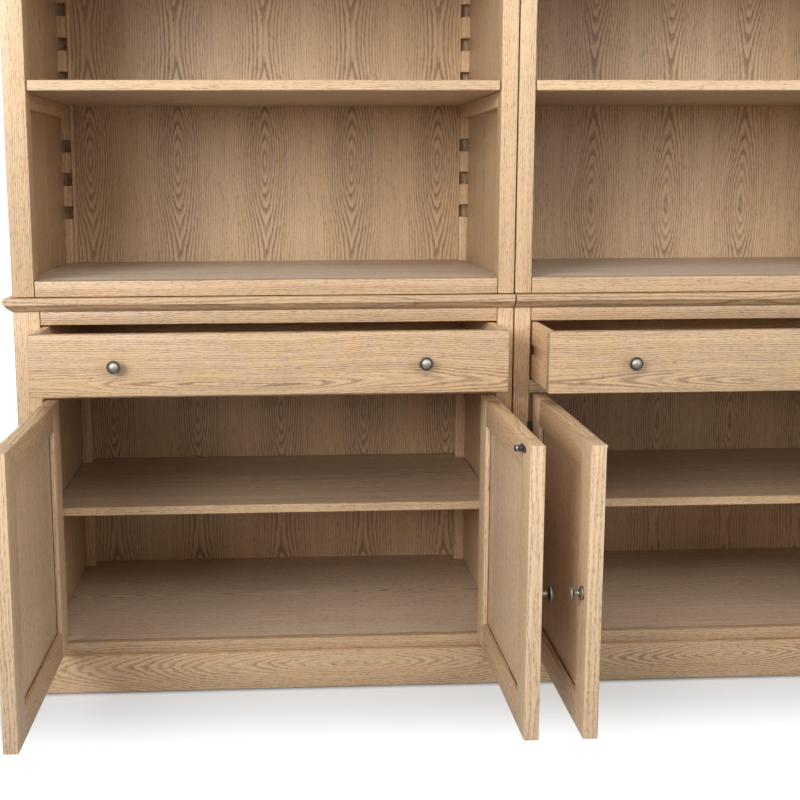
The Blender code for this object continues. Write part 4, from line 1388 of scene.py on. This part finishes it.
class BOOKCASE_OT_doors(bpy.types.Operator):
    """Build the framed doors and every knob"""

    bl_idname = "bookcase.doors"
    bl_label = "Doors and knobs"

    def execute(self, context):
        sections = knob_sections()
        for prefix, side in SIDES.items():
            for part in ("outer", "seam"):
                body = f"{prefix}_{part}_door"
                build_door(prefix, side, part)
                build_knob(f"{body}_knob", body, sections["door"], closing_turn(body))
                build_knob(f"{prefix}_drawer_{part}_knob", f"{prefix}_drawer", sections["drawer"])
        return {"FINISHED"}


class BOOKCASE_OT_hinges(bpy.types.Operator):
    """Build the hinges with their screws, and the catches on the seam doors"""

    bl_idname = "bookcase.hinges"
    bl_label = "Hinges and catches"

    def execute(self, context):
        for prefix, side in SIDES.items():
            for part in ("outer", "seam"):
                build_hinges(prefix, side, part)
            build_catch(prefix, side)
        return {"FINISHED"}


def add_camera(studio):
    """The camera, which looks along Y before its own turns."""
    scene = bpy.context.scene
    data = bpy.data.cameras.new("camera")
    data.lens = studio.lens
    data.sensor_width = 36
    data.shift_x, data.shift_y = studio.shift
    camera = bpy.data.objects.new("camera", data)
    place = Vector(studio.camera_place) + Vector((0, FRONT_Y, 0))
    camera.matrix_world = (
        Matrix.Translation(place)
        @ Matrix.Rotation(studio.camera_yaw, 4, "Z")
        @ Matrix.Rotation(studio.camera_pitch, 4, "X")
        @ Matrix.Rotation(studio.camera_roll, 4, "Y")
        @ Matrix.Rotation(math.pi / 2, 4, "X")
    )
    scene.collection.objects.link(camera)
    scene.camera = camera


def add_world(studio):
    """White to the camera and in reflections, and a weak even light on the bookcase."""
    world = bpy.data.worlds.new("studio")
    bpy.context.scene.world = world
    world.use_nodes = True
    tree = world.node_tree
    rays = ("Is Camera Ray", "Is Glossy Ray", "Is Transmission Ray")
    seen, mirrored, through = (add_node(tree, "ShaderNodeLightPath", output=ray) for ray in rays)
    white = seen.math("MAXIMUM", mirrored.math("MAXIMUM", through))
    light = tree.nodes["Background"]
    feed(tree, light.inputs["Color"], WHITE)
    feed(tree, light.inputs["Strength"], white * (1 - studio.sky) + studio.sky)


def add_lamp(name, power, spread, place, aim, size):
    """A rectangular lamp that shines from its place toward its aim."""
    data = bpy.data.lights.new(name, "AREA")
    data.shape = "RECTANGLE"
    data.size, data.size_y = size
    data.energy = power
    data.spread = spread
    lamp = bpy.data.objects.new(name, data)
    lamp.location = place
    lamp.rotation_euler = (Vector(aim) - Vector(place)).to_track_quat("-Z", "Y").to_euler()
    bpy.context.scene.collection.objects.link(lamp)


def add_floor(studio):
    """A pale floor that glows white further off; near the cabinet it keeps the real shadow, greyed further
    by a painted shadow halo and a painted contact line.
    """
    bpy.ops.mesh.primitive_plane_add(size=40, location=(0, 0, 0))
    floor = bpy.context.object
    floor.name = "studio_floor"
    finish = Finish("studio_floor")
    x, y, _ = finish.split(finish.place())
    beyond_x = (x.math("ABSOLUTE") - OUTER_X).math("MAXIMUM", 0)
    beyond_y = (FRONT_Y - y).math("MAXIMUM", y - BACK_Y).math("MAXIMUM", 0)
    distance = (beyond_x * beyond_x + beyond_y * beyond_y) ** 0.5
    # Less glow near the cabinet lets its real shadow show, and also greys the lit floor there: a painted
    # shadow halo
    far = finish.between(distance, 0, studio.glow_reach)
    # Close to the foot the glow is taken away altogether, so the grey floor shows a dark line there: a
    # painted contact shadow
    clear = finish.between(distance, -studio.contact_reach / 3, studio.contact_reach)
    finish.set(Base_Color=studio.floor_colour, Roughness=0.9)
    glow = finish.add("ShaderNodeEmission", None, {"Color": WHITE, "Strength": studio.floor_glow})
    seen = finish.add("ShaderNodeLightPath", output="Is Camera Ray")
    share = seen * clear * (far * (1 - studio.near_glow) + studio.near_glow)
    plain = Value(finish.tree, finish.shader.outputs[0])
    mix = finish.add("ShaderNodeMixShader", None, {0: share, 1: plain, 2: glow})
    feed(finish.tree, finish.tree.nodes["Material Output"].inputs["Surface"], mix)
    floor.data.materials.append(finish.material)


class BOOKCASE_OT_studio(bpy.types.Operator):
    """Set up the pale floor, the soft light and the camera"""

    bl_idname = "bookcase.studio"
    bl_label = "Studio"

    def execute(self, context):
        studio = context.scene.studio_sizes
        context.scene.view_settings.view_transform = "Standard"
        add_camera(studio)
        add_world(studio)
        for name, lamp in LAMPS.items():
            spread = studio.spread if name == "key" else math.pi
            add_lamp(name, getattr(studio, name), spread, **lamp)
        add_floor(studio)
        return {"FINISHED"}


class BOOKCASE_PT_panel(bpy.types.Panel):
    """Lists the bookcase's building steps and sizes"""

    bl_label = "Bookcase"
    bl_idname = "BOOKCASE_PT_panel"
    bl_space_type = "VIEW_3D"
    bl_region_type = "UI"
    bl_category = "Bookcase"

    def draw(self, context):
        for operator in OPERATORS:
            self.layout.operator(operator.bl_idname)
        for group in GROUPS:
            owner = getattr(context.scene, group)
            for name in owner.__annotations__:
                self.layout.prop(owner, name)


GROUPS = {
    "oak_finish": OakFinish,
    "metal_finish": MetalFinish,
    "board_sizes": BoardSizes,
    "moulding_sizes": MouldingSizes,
    "base_fittings": BaseFittings,
    "hardware_sizes": HardwareSizes,
    "studio_sizes": StudioSizes,
}
OPERATORS = (
    BOOKCASE_OT_studio,
    BOOKCASE_OT_hutch,
    BOOKCASE_OT_boards,
    BOOKCASE_OT_base,
    BOOKCASE_OT_doors,
    BOOKCASE_OT_hinges,
)


def register():
    for group in (*GROUPS.values(), *OPERATORS, BOOKCASE_PT_panel):
        bpy.utils.register_class(group)
    for name, group in GROUPS.items():
        setattr(bpy.types.Scene, name, bpy.props.PointerProperty(type=group))


def unregister():
    for name in GROUPS:
        delattr(bpy.types.Scene, name)
    for group in (BOOKCASE_PT_panel, *OPERATORS, *GROUPS.values()):
        bpy.utils.unregister_class(group)


def main():
    register()
    for operator in OPERATORS:
        group, name = operator.bl_idname.split(".")
        getattr(getattr(bpy.ops, group), name)()


if __name__ == "__main__":
    main()
